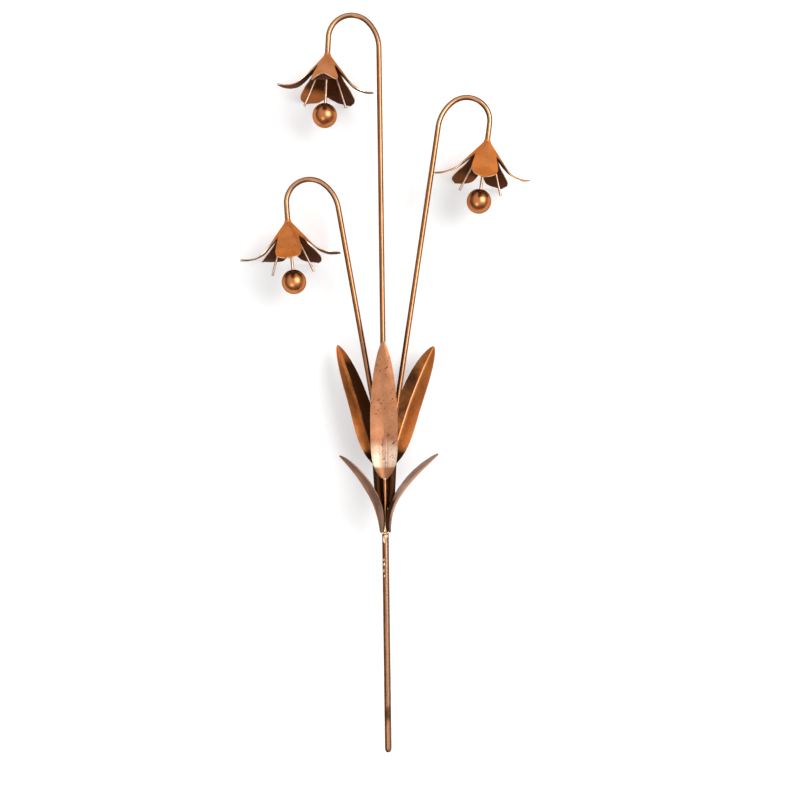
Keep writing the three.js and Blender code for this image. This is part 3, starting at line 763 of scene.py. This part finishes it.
def petal_side_angle(along, notch, border, flare, length):
    """Angle from a petal's middle to one of its long sides."""
    if along <= notch:
        return border
    share = (along - notch) / (length - notch)
    root = bell_profile(notch, flare)[0] * math.sin(border)
    swollen = lerp(root, PETAL_HALF_WIDTH, smoothstep(share, 0, PETAL_SWELL))
    ending = max((share - PETAL_SWELL) / (1 - PETAL_SWELL), 0.0)
    half = max(swollen * max(1 - ending * ending, 0.0) ** PETAL_POINT, PETAL_TIP_HALF_WIDTH)
    return math.asin(half / bell_profile(along, flare)[0])


def petal_rows(notches, length):
    """Distances along the sheet at which a petal has a row of points."""
    rows = [-NECK_LENGTH * (1 - step / NECK_ROWS) for step in range(NECK_ROWS)]
    rows += [notches[0] * step / CONE_ROWS for step in range(CONE_ROWS)] + [notches[0]]
    for start, stop in zip(notches, notches[1:]):
        steps = math.ceil((stop - start) / NOTCH_STEP)
        rows += [lerp(start, stop, step / steps) for step in range(1, steps + 1)]
    last = rows[-1]
    for row in range(1, PETAL_ROWS + 1):
        rows.append(last + math.sin(math.pi / 2 * row / PETAL_ROWS) * (length - last))
    return rows


def ripple(across, along, seed):
    """Wave of a petal's free sheet, as a share of its height."""
    total = 0.0
    for height, waves, shift, slant in RIPPLES:
        total += height * math.sin(waves * across + shift * seed + slant * along)
    return total


def petal_sheet(bell, order, bell_seed):
    """Points, faces, finishes and patina of one petal with its sector of the neck and cone."""
    turns, notches = bell["turns"], bell["notches"]
    flare, length = math.radians(bell["flares"][order]), bell["lengths"][order]
    facing = math.radians(turns[order])
    gaps = [turns[order] - turns[order - 1], turns[(order + 1) % len(turns)] - turns[order]]
    borders = [math.radians(gap % 360) / 2 for gap in gaps]
    cuts = [along_at_radius(radius, flare) for radius in (notches[order - 1], notches[order])]
    free_from = max(cuts)
    loose_from = length - PETAL_LOOSE_END * (length - free_from)
    joined = sorted(along_at_radius(radius, flare) for radius in notches)
    rows = petal_rows([notch for notch in joined if notch <= free_from], length)

    def place(along, column, side):
        radius, depth, angle, thickness = bell_profile(along, flare)
        low, high = (petal_side_angle(along, *ends, flare, length) for ends in zip(cuts, borders))
        share = column / PETAL_COLUMNS
        swung = lerp(-low, high, share)
        flat = PETAL_FLATNESS * smoothstep(along, free_from, free_from + PETAL_FLATTENED_OVER)
        free = smoothstep(along, free_from, loose_from)
        wave = free * bell["waves"][order] * ripple(2 * share - 1, along, bell_seed + order)
        turn = facing + swung
        dent_depth = depth + BELL_DENT_SHIFT * bell_seed
        dent_at = Vector((radius * math.sin(turn), radius * math.cos(turn), dent_depth))
        dented = dent(dent_at, *BELL_DENT) * smoothstep(along, *BELL_DENT_ALONG)
        offset = side * thickness / 2 + wave + dented
        reach = radius + offset * math.cos(angle)
        out, sideways = reach * lerp(math.cos(swung), 1.0, flat), reach * math.sin(swung)
        x = out * math.sin(facing) + sideways * math.cos(facing)
        y = sideways * math.sin(facing) - out * math.cos(facing)
        rolled = free * bell["rolls"][order] * sideways
        return Vector((x, y, offset * math.sin(angle) - depth + rolled))

    points = []
    painted_light_and_oxide = []
    # The inside takes a painted highlight towards the tip, as strong as the petal's glow
    for side, glow in ((1, 0.0), (-1, bell["glows"][order])):
        for along in rows:
            bright = glow * smoothstep(along / length, *GLOW_ALONG)
            for column in range(PETAL_COLUMNS + 1):
                points.append(place(along, column, side))
                painted_light_and_oxide.append((0.0, bright))
    rims_from = [sum(along < cut for along in rows) for cut in cuts]
    faces, finish = sheet_faces(len(rows) - 1, PETAL_COLUMNS, *rims_from)
    return points, faces, finish, painted_light_and_oxide


def flower_place(line):
    """Place of a flower's own frame: its neck, with Z back up the end of the stem."""
    x, z, heading, _ = line[-1]
    turn = math.radians(heading)
    neck = Vector((x - STEM_END_DEPTH * math.sin(turn), 0.0, z - STEM_END_DEPTH * math.cos(turn)))
    return Matrix.Translation(neck) @ Matrix.Rotation(turn - math.pi, 4, "Y")


flower_places = {flower: flower_place(line) for flower, line in stem_lines.items()}


def bell_piece(flower, bell, seed):
    points, faces, finish, painted_light_and_oxide = [], [], [], []
    for order in range(len(bell["turns"])):
        made = petal_sheet(bell, order, seed)
        start = len(points)
        points += made[0]
        faces += shifted(made[1], start)
        finish += made[2]
        painted_light_and_oxide += made[3]
    points, faces, finish, painted_light_and_oxide = welded(points, faces, finish, painted_light_and_oxide)
    placed = [flower_places[flower] @ point for point in points]
    face = PALE_PETAL_FACE if flower == "centre" else PETAL_FACE
    looks = [face, PETAL_INSIDE, SHEET_RIM]
    mesh = {"points": placed, "faces": faces, "finish": finish, "painted_light_and_oxide": painted_light_and_oxide}
    piece(f"bell_sheet_{flower}", "frame", "bell", [f"bell_{flower}"], looks, **mesh)


for order, flower in enumerate(FLOWERS):
    bell_piece(flower, BELLS[flower], BELL_SEED_STEP * order)


# Stamens, clappers and balls
HINGE_DEPTH = SEAT_BOTTOM + STAPLE_DROP
EYE_THICKNESS = 0.7 * CLAPPER_DIAMETER
EYE_RADIUS = (EYE_BORE_DIAMETER + EYE_THICKNESS) / 2
EYE_DEPTH = HINGE_DEPTH + (EYE_BORE_DIAMETER - STAPLE_DIAMETER) / 2 - CLEARANCE
STAMEN_SIDES = 20
ROD_SIDES = 24
EYE_STEPS = 36
EYE_SIDES = 16
BALL_STEPS = 40
BALL_SIDES = 64
BALL_END = 0.02  # half angle of the small flat that closes the ball below
BALL_HOLE_GAP = 0.15
BALL_HOLE_FLOOR = 8.0  # below the top of the ball
BALL_LIP = 0.5
BALL_LIP_ROUNDING = 0.15


def in_bell(x, depth):
    return Vector((x, 0.0, -depth))


def stamen_piece(flower, side_name, side):
    top = SEAT_BOTTOM - SOCKET_DEPTH
    splay = math.radians(STAMEN_SPLAY)
    reach = STAMEN_OFFSET + STAMEN_LENGTH * math.sin(splay)
    start = flower_places[flower] @ in_bell(side * STAMEN_OFFSET, top)
    end = flower_places[flower] @ in_bell(side * reach, top + STAMEN_LENGTH * math.cos(splay))
    mesh = tube(straight_rings(start, end, STAMEN_DIAMETER / 2), STAMEN_SIDES)
    node = f"stamen_{side_name}_{flower}"
    piece(f"{node}_wire", "frame", "wire", [node], [WIRE_COPPER], **mesh)


def rod_piece(flower):
    """Clapper rod with the eye that hangs on the staple."""
    start, end = in_bell(0, EYE_DEPTH + EYE_RADIUS), in_bell(0, BALL_DEPTH)
    mesh = tube(straight_rings(start, end, CLAPPER_DIAMETER / 2), ROD_SIDES)
    mesh["faces"] += shifted(ring_faces(EYE_STEPS, EYE_SIDES, closed=True), len(mesh["points"]))
    for step, (up, back) in enumerate(circle(EYE_STEPS)):
        for cosine, sine in circle(EYE_SIDES):
            reach = EYE_RADIUS + EYE_THICKNESS / 2 * cosine
            sideways = EYE_THICKNESS / 2 * sine
            mesh["points"].append(Vector((sideways, reach * back, reach * up - EYE_DEPTH)))
            mesh["drawn"].append((sideways, reach, EYE_RADIUS * 2 * math.pi * step / EYE_STEPS))
            mesh["painted_light_and_oxide"].append((0.0, 0.0))
    mesh["points"] = [flower_places[flower] @ point for point in mesh["points"]]
    node = f"clapper_rod_{flower}"
    piece(f"{node}_wire", f"clapper_{flower}", "wire", [node], [WIRE_COPPER], **mesh)


def ball_piece(flower):
    """Clapper ball with the drilled hole that takes the rod."""
    radius = BALL_DIAMETER / 2
    hole = CLAPPER_DIAMETER / 2 + BALL_HOLE_GAP
    lip = math.asin((hole + BALL_LIP) / radius)
    profile = []
    for step in range(BALL_STEPS + 1):
        turn = lerp(math.pi - BALL_END, lip, step / BALL_STEPS)
        profile.append((radius * math.sin(turn), radius * math.cos(turn)))
    top = profile[-1][1]
    profile.append((hole + BALL_LIP_ROUNDING, top - BALL_LIP_ROUNDING))
    profile += [(hole, top - BALL_LIP), (hole, radius - BALL_HOLE_FLOOR)]
    points, faces = turned(profile, BALL_SIDES)
    placed = [flower_places[flower] @ (point + in_bell(0, BALL_DEPTH)) for point in points]
    node = f"clapper_ball_{flower}"
    piece(f"{node}_turned", f"clapper_{flower}", "ball", [node], [BALL_COPPER], placed, faces)


for flower in FLOWERS:
    stamen_piece(flower, "left", -1)
    stamen_piece(flower, "right", 1)
    rod_piece(flower)
    ball_piece(flower)


# Painted shade and painted highlights on the leaves, by the share of the length and by the place
# across, from -1 to 1
FRONT_FOOT = (0.06, 0.13)
UPPER_FOOT = (0.04, 0.2)


def front_marks(along, u):
    """The front leaf's face, with painted highlights beside its rib and on its lower half, and a painted
    shade line along the rib.
    """
    left = 0.62 * smoothstep(-u, 0.05, 0.55)
    right = 0.64 * smoothstep(u, 0.1, 0.4)
    shine = 0.7 * ridge(u, 0.17, 0.08)
    patch = max(left, right, shine) * band(along, *FRONT_FOOT, 0.18, 0.5)
    lower_half = 0.44 * falling(along, 0.15, 0.6)
    line = 0.75 * ridge(u, -0.1, 0.06) * band(along, 0.14, 0.22, 0.34, 0.46)
    return line, max(patch, lower_half) * smoothstep(along, *FRONT_FOOT)


def upper_left_marks(along, u):
    """The upper left leaf's inside, with painted shade on one half, along its crease, on its lower half and
    at its foot.
    """
    border = lerp(0.25, -0.05, along)
    half = smoothstep(border - u, -0.06, 0.12) * lerp(1.0, 0.4, smoothstep(along, 0.72, 0.98))
    crease_line = 0.6 * ridge(u, 0.1, 0.2)
    lower_half = 0.5 * falling(along, 0.2, 0.5)
    return max(half, crease_line, lower_half, falling(along, *UPPER_FOOT)), 0.0


def upper_right_marks(along, u):
    """The upper right leaf's inside, with painted shade on one half and at its foot, and a painted highlight
    along its crease.
    """
    half = 0.69 * smoothstep(u, -0.02, 0.06)
    crease_line = 0.5 * ridge(u, 0.0, 0.045) * band(along, 0.1, 0.2, 0.8, 0.92)
    return max(half, falling(along, *UPPER_FOOT)), crease_line


def lower_right_marks(along, u):
    """The lower right leaf's face, with painted shade along one edge of its foot and a painted highlight
    above.
    """
    edge = smoothstep(-u, 0.42, 0.55) * falling(along, 0.3, 0.55)
    return edge, 0.5 * smoothstep(along, 0.1, 0.25) * (1 - edge)


def plain_marks(_along, _u):
    return 0.0, 0.0


# Painted shade over the whole inside of a lower leaf
def dark_marks(_along, _u):
    return 1.0, 0.0


LEAF_MARKS = {
    "front": (front_marks, plain_marks),
    "upper_left": (plain_marks, upper_left_marks),
    "upper_right": (plain_marks, upper_right_marks),
    "lower_left": (plain_marks, dark_marks),
    "lower_right": (lower_right_marks, dark_marks),
}  # outside and inside of each leaf

# Leaves
LEAF_ROWS = 56
LEAF_COLUMNS = 24
TAIL_ROWS = 8
LEAF_DENT = (0.25, 0.09)
LEAF_DENT_ALONG = (0.1, 0.3)
LEAF_DENT_SHIFT = 50


def outward(turn):
    return Vector((math.sin(math.radians(turn)), -math.cos(math.radians(turn)), 0.0))


def leaf_share(along):
    """Half width of a leaf along its length, as a share of its greatest: blunt below, pointed above."""
    power = 4 if along < 0.5 else 2
    return max(1 - abs(2 * along - 1) ** power, 0.0) ** LEAF_POINT


def crease(u, roundness):
    return (math.hypot(u, roundness) - roundness) / (math.hypot(1.0, roundness) - roundness)


def bar_x_at(line, height):
    above = next(at for at, station in enumerate(line) if station[1] >= height)
    lower, upper = line[max(above - 1, 0)], line[above]
    share = (height - lower[1]) / (upper[1] - lower[1]) if above else 0.0
    return lerp(lower[0], upper[0], share)


def leaf_piece(name, leaf, seed):
    """A leaf of folded sheet. The two upper ones have a tail, a strip that runs down behind the stems."""
    on_collar = leaf["bar"] == "collar"
    hug = (COLLAR_DIAMETER if on_collar else STEM_DIAMETER) / 2
    base = STAKE_LENGTH + leaf["above"]
    origin = Vector((0.0 if on_collar else bar_x_at(stem_lines[leaf["bar"]], base), 0.0, base))
    base_fold, blade_fold = (math.radians(fold) for fold in leaf["folds"])
    root = outward(leaf["turn"]) * ((hug + CLEARANCE) / math.cos(base_fold))
    steer, tip = root + Vector(leaf["steer"]), root + Vector(leaf["tip"])
    tail = Vector(leaf.get("tail", (0, 0, 0)))
    tail_rows = TAIL_ROWS if "tail" in leaf else 0
    outer_marks, inner_marks = LEAF_MARKS[name]
    outer, inner = [], []
    outer_painted_light, inner_painted_light = [], []
    for row in range(-tail_rows, LEAF_ROWS + 1):
        along = max(row / LEAF_ROWS, 0.0)
        on_tail = max(-row / TAIL_ROWS, 0.0)
        fold = lerp(base_fold, blade_fold, smoothstep(along, *FOLD_CHANGE))
        base_half = leaf["base_half"] * (1 - TAIL_TAPER * on_tail) * (1 - along) ** 2
        half = math.hypot(leaf["half"] * leaf_share(along), base_half, SHEET)
        middle = root * (1 - along) ** 2 + steer * (2 * along * (1 - along)) + tip * along**2
        middle += tail * on_tail
        tangent = ((steer - root) * (1 - along) + (tip - steer) * along).normalized()
        if on_tail:
            tangent = -tail.normalized()
        out = outward(lerp(leaf["turn"], leaf["face"], along))
        out = (out - tangent * out.dot(tangent)).normalized()
        sideways = tangent.cross(out)
        ribbed = leaf.get("rib", 0.0) * band(along, *RIB_ALONG)
        dented = smoothstep(along, *LEAF_DENT_ALONG)
        for column in range(LEAF_COLUMNS + 1):
            u = 2 * column / LEAF_COLUMNS - 1
            if leaf.get("front_side", 0) * u > 0:
                u *= lerp(leaf["foot_cut"], 1.0, min(along / FOOT_CUT_ALONG, 1.0))
            across = half * math.cos(fold) * u
            if leaf.get("inner_side", 0) * u > 0:
                across *= 1 + FOOT_SPREAD * falling(along, 0.0, FOOT_SPREAD_ALONG)
            depth = half * math.sin(fold) * crease(u, leaf["crease"])
            lower = middle + sideways * across - out * depth
            dent_at = lower + Vector((0, 0, LEAF_DENT_SHIFT * seed))
            lower = origin + lower + out * (dented * dent(dent_at, *LEAF_DENT))
            rib = ribbed * ridge(across, 0.0, RIB_HALF_WIDTH)
            inner.append(lower)
            outer.append(lower + out * (SHEET / math.cos(fold) + rib))
            # Painted shade and painted highlights on the two faces
            outer_painted_light.append(outer_marks(along, u))
            inner_painted_light.append(inner_marks(along, u))
    faces, finish = sheet_faces(LEAF_ROWS + tail_rows, LEAF_COLUMNS, flipped=True)
    looks = [LEAF_FACE, LEAF_INSIDE, SHEET_RIM]
    if on_collar:
        looks = [LOWER_LEAF_FACE, LEAF_INSIDE, LOWER_LEAF_FACE]
    mesh = {"points": outer + inner, "faces": faces, "finish": finish, "painted_light_and_oxide": outer_painted_light + inner_painted_light}
    piece(f"leaf_sheet_{name}", "frame", "leaf", [f"leaf_{name}"], looks, **mesh)


for seed, (name, leaf) in enumerate(LEAVES.items()):
    leaf_piece(name, leaf, seed)


# Braze
BRAZE_BITE = 0.05  # how far braze goes into the bar that it is on
FILLET_SIDES = 40
FILLET_STEPS = 8
FILLET_FOOT = -0.5
FILLET_HEIGHT = 3.2
FILLET_LIP = 0.12
FILLET_FLOOR = -0.6
FILLET_FLOOR_LIP = 0.1
COLLAR_STEPS = 20
COLLAR_FOOT = {"height": 0.1, "floor": 0.05, "lip": 0.1}
COLLAR_TOP_LIP = 0.2
COLLAR_TAPER = (0.6, 1.0)
COLLAR_SWELL = {"start": 0.06, "speed": 1.25, "until": 0.75, "power": 0.6}
COLLAR_DENT = (0.22, 0.45)
COLLAR_DENT_BEYOND_BORE = 0.1
COLLAR_SHADE = {"right": (0.25, 0.6), "left": (0.6, 0.9), "height": (1.0, 4.0)}


def neck_braze(flower):
    """Fillet of braze where a stem runs into its bell."""
    stem, edge = STEM_DIAMETER / 2 - BRAZE_BITE, NECK_RADIUS + NECK_EDGE / 2
    profile = [(stem, FILLET_FLOOR), (edge + FILLET_FLOOR_LIP, FILLET_FLOOR)]
    for step in range(FILLET_STEPS + 1):
        turn = math.pi / 2 * step / FILLET_STEPS
        radius = lerp(edge + FILLET_LIP, stem, math.sin(turn))
        profile.append((radius, FILLET_FOOT + FILLET_HEIGHT * (1 - math.cos(turn))))
    points, faces = turned(profile, FILLET_SIDES, ring=True)
    placed = [flower_places[flower] @ point for point in points]
    piece(f"neck_braze_{flower}", "frame", "braze", [], [STEM_COPPER], placed, faces)


def collar_profile(bore):
    """Profile of the lump of braze, which swells above the stake and tapers to the stem."""
    foot = STAKE_DIAMETER / 2
    bottom = STAKE_LENGTH + COLLAR_FOOT["height"]
    profile = [(bore, bottom), (foot - COLLAR_FOOT["lip"], STAKE_LENGTH + COLLAR_FOOT["floor"])]
    top = bore + COLLAR_TOP_LIP
    for step in range(COLLAR_STEPS + 1):
        share = step / COLLAR_STEPS
        swell = 0.0
        if share < COLLAR_SWELL["until"]:
            rising = min(COLLAR_SWELL["speed"] * share + COLLAR_SWELL["start"], 1.0)
            swell = math.sin(math.pi * rising) ** COLLAR_SWELL["power"]
        tapered = lerp(foot + COLLAR_FOOT["lip"], top, smoothstep(share, *COLLAR_TAPER))
        radius = max(tapered, lerp(top, COLLAR_DIAMETER / 2, swell))
        profile.append((radius, bottom + COLLAR_HEIGHT * share))
    profile.append((bore, bottom + COLLAR_HEIGHT))
    return profile


def collar_braze():
    """The lump of braze under the lower leaves, with painted shade on its flanks."""
    bore = STEM_DIAMETER / 2 - BRAZE_BITE
    points, faces = turned(collar_profile(bore), ring=True)
    painted_light_and_oxide = []
    for point in points:
        radius = math.hypot(point.x, point.y)
        if radius > bore + COLLAR_DENT_BEYOND_BORE:
            scale = 1 + dent(point, *COLLAR_DENT) / radius
            point.x *= scale
            point.y *= scale
        # Painted shade on the flanks, above the foot of the lump
        sideways = point.x / math.hypot(point.x, point.y)
        right = smoothstep(sideways, *COLLAR_SHADE["right"])
        left = smoothstep(-sideways, *COLLAR_SHADE["left"])
        painted_light_and_oxide.append((max(right, left) * smoothstep(point.z - STAKE_LENGTH, *COLLAR_SHADE["height"]), 0.0))
    piece("collar_braze", "frame", "braze", ["collar"], [BRAZE], points, faces, painted_light_and_oxide=painted_light_and_oxide)


# Drops of braze: each one's place, as how far right, how far in front of the skin and how far above
# the top of the stake, and its half sizes
STAKE_DROPS = (
    ((-0.6, 0.0, -7.0), (2.6, 0.7, 4.6)),
    ((1.3, -0.2, -4.0), (1.8, 0.7, 2.2)),
    ((-2.2, -0.7, -32.0), (1.0, 0.5, 1.6)),
    ((-1.9, -0.5, -37.5), (1.2, 0.5, 1.9)),
    ((-2.3, -0.8, -45.0), (0.9, 0.5, 2.2)),
    ((-1.7, -0.4, -51.5), (1.0, 0.45, 1.5)),
    ((-3.6, 0.9, 0.2), (1.6, 0.9, 1.5)),
    ((-0.6, 1.7, 0.0), (2.1, 0.9, 1.2)),
    ((2.9, 1.2, 0.6), (1.7, 0.9, 1.7)),
)
STEM_DROPS = (
    ((-0.7, 0.5, 65.2), (1.1, 0.8, 1.2)),
    ((1.0, 0.5, 64.6), (1.1, 0.8, 1.1)),
)
DROP_LUMP = {"height": 0.22, "scale": 1.7, "shift": 9.0}
DROP_SUBDIVISIONS = 3


def braze_drops():
    """Lumpy drops of braze on the stake and on the centre stem, in one mesh."""
    ball = bmesh.new()
    bmesh.ops.create_icosphere(ball, subdivisions=DROP_SUBDIVISIONS, radius=1.0)
    ball_faces = [[vertex.index for vertex in face.verts] for face in ball.faces]
    points, faces = [], []
    drops = [(STAKE_DIAMETER / 2, *drop) for drop in STAKE_DROPS]
    drops += [(STEM_DIAMETER / 2, *drop) for drop in STEM_DROPS]
    for seed, (skin, (right, proud, above), size) in enumerate(drops):
        faces += shifted(ball_faces, len(points))
        centre = Vector((right, -skin - proud, STAKE_LENGTH + above))
        shift = Vector((DROP_LUMP["shift"] * seed, 0, 0))
        for vertex in ball.verts:
            lump = 1 + DROP_LUMP["height"] * noise.noise(vertex.co * DROP_LUMP["scale"] + shift)
            points.append(centre + Vector(a * b for a, b in zip(vertex.co * lump, size)))
    ball.free()
    piece("braze_drops", "frame", "braze", [], [BRAZE], points, faces)


for flower in FLOWERS:
    neck_braze(flower)
collar_braze()
braze_drops()

# Seats and staples keep their CAD meshes
for flower in FLOWERS:
    for node, look in ((f"seat_{flower}", BRAZE), (f"staple_{flower}", WIRE_COPPER)):
        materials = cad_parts[node].data.materials
        materials.clear()
        materials.append(look)


# Camera: level, in front of the object, with the photograph's slight roll. The camera, the table and
# the lamps are placed in metres.
VIEW_CENTRE = Vector((0.01966, 0.0, 0.4222))
VIEW_DISTANCE = 1.47
VIEW_WIDTH = 0.96
VIEW_ROLL = math.radians(0.762)
camera_data = bpy.data.cameras.new("camera")
camera_data.sensor_fit = "HORIZONTAL"
camera_data.angle = 2 * math.atan(VIEW_WIDTH / 2 / VIEW_DISTANCE)
camera = added("camera", camera_data)
camera.matrix_world = (
    Matrix.Translation(VIEW_CENTRE - Vector((0, VIEW_DISTANCE, 0)))
    @ Matrix.Rotation(VIEW_ROLL, 4, "Y")
    @ Matrix.Rotation(math.pi / 2, 4, "X")
)
bpy.context.scene.camera = camera

# Stage: the white table that the object lies on, just behind it
TABLE_Y = 0.056
TABLE_HALF = 0.75
TABLE_DIFFUSE = 0.75
TABLE_LIFT = 0.18


def white_table():
    """White paper that is lifted to the photograph's white, and clear from behind."""
    material = bpy.data.materials.new("white_table")
    material.use_nodes = True
    graph = Graph(material.node_tree)
    graph.tree.nodes.clear()
    path = graph.node("ShaderNodeLightPath").outputs
    seen = graph.math("MAXIMUM", path["Is Camera Ray"], path["Is Glossy Ray"])
    seen = graph.math("MAXIMUM", seen, path["Is Transmission Ray"])
    paper = graph.node("ShaderNodeBsdfDiffuse", {"Color": (TABLE_DIFFUSE,) * 3 + (1,)}).outputs[0]
    lift = graph.node("ShaderNodeEmission", {"Strength": graph.math("MULTIPLY", seen, TABLE_LIFT)}).outputs[0]
    lit = graph.node("ShaderNodeAddShader", {0: paper, 1: lift}).outputs[0]
    clear = graph.node("ShaderNodeBsdfTransparent").outputs[0]
    back = graph.node("ShaderNodeNewGeometry").outputs["Backfacing"]
    shown = graph.node("ShaderNodeMixShader", {0: back, 1: lit, 2: clear}).outputs[0]
    graph.node("ShaderNodeOutputMaterial", {"Surface": shown})
    return material


table_mesh = bpy.data.meshes.new("table")
table_corners = [(x * TABLE_HALF, 0, z * TABLE_HALF) for x, z in ((-1, -1), (1, -1), (1, 1), (-1, 1))]
table_mesh.from_pydata(table_corners, [], [(0, 1, 2, 3)])
table_mesh.materials.append(white_table())
table = added("table", table_mesh)
table.location = (VIEW_CENTRE.x, TABLE_Y, VIEW_CENTRE.z)


# Light: a softbox from the upper right, a panel low on the left, and a studio that is bright in front
# and dark on the left
def lamp(name, place, size, power):
    data = bpy.data.lights.new(name, "AREA")
    data.shape = "RECTANGLE"
    data.size, data.size_y = size
    data.energy = power
    made = added(name, data)
    made.location = place
    made.rotation_euler = (VIEW_CENTRE - Vector(place)).to_track_quat("-Z", "Y").to_euler()


lamp("softbox", place=(1.31, -1.84, 0.95), size=(1.5, 1.5), power=44.0)
lamp("low_panel", place=(-0.52, -1.32, -0.40), size=(0.7, 0.7), power=4.4)

# Levels of the studio by the direction round the object, in degrees from the front to the right, and
# by the height of the direction
ROUND_LEVELS = (
    (-180, 0.3), (-110, 0.08), (-72, 0.06), (-58, 0.65), (-42, 0.95), (-15, 1.15),
    (15, 1.15), (38, 1.0), (52, 0.5), (90, 0.42), (130, 0.4), (180, 0.3),
)
HEIGHT_LEVELS = ((-1.0, 0.1), (-0.75, 0.25), (-0.5, 0.8), (0.0, 1.0), (0.6, 1.0), (1.0, 0.9))
CAMERA_SHADE = {"way": (-0.05, -0.99, 0.12), "edge": (0.970, 0.992), "level": 0.45}


def studio_world():
    """The studio as the object's skin reflects it, white where the camera sees it."""
    world = bpy.data.worlds.new("studio")
    bpy.context.scene.world = world
    world.use_nodes = True
    graph = Graph(world.node_tree)
    graph.tree.nodes.clear()
    way = graph.node("ShaderNodeTexCoord").outputs["Generated"]
    axes = graph.node("ShaderNodeSeparateXYZ", {0: way}).outputs
    turn = graph.math("ARCTAN2", axes[0], graph.math("MULTIPLY", axes[1], -1.0))
    share = graph.math("ADD", graph.math("DIVIDE", turn, 2 * math.pi), 0.5)
    levels = graph.ramp(share, [((degrees + 180) / 360, level) for degrees, level in ROUND_LEVELS])
    share = graph.math("ADD", graph.math("MULTIPLY", axes[2], 0.5), 0.5)
    heights = graph.ramp(share, [((height + 1) / 2, level) for height, level in HEIGHT_LEVELS])
    room = graph.mix(1.0, levels, heights, "MULTIPLY")
    towards = graph.node("ShaderNodeVectorMath", {0: way, 1: CAMERA_SHADE["way"]}, operation="DOT_PRODUCT")
    shaded = graph.spread(towards.outputs["Value"], *CAMERA_SHADE["edge"], 1.0, CAMERA_SHADE["level"])
    room = graph.mix(1.0, room, shaded, "MULTIPLY")
    path = graph.node("ShaderNodeLightPath").outputs
    behind = graph.math("GREATER_THAN", axes[1], 0.0)
    mirrored = graph.math("MAXIMUM", path["Is Glossy Ray"], path["Is Transmission Ray"])
    white = graph.math("MAXIMUM", path["Is Camera Ray"], graph.math("MULTIPLY", mirrored, behind))
    seen = graph.mix(white, room, WHITE)
    background = graph.node("ShaderNodeBackground", {"Color": seen, "Strength": 1.0}).outputs[0]
    graph.node("ShaderNodeOutputWorld", {"Surface": background})


studio_world()
bpy.context.scene.view_settings.view_transform = "Standard"
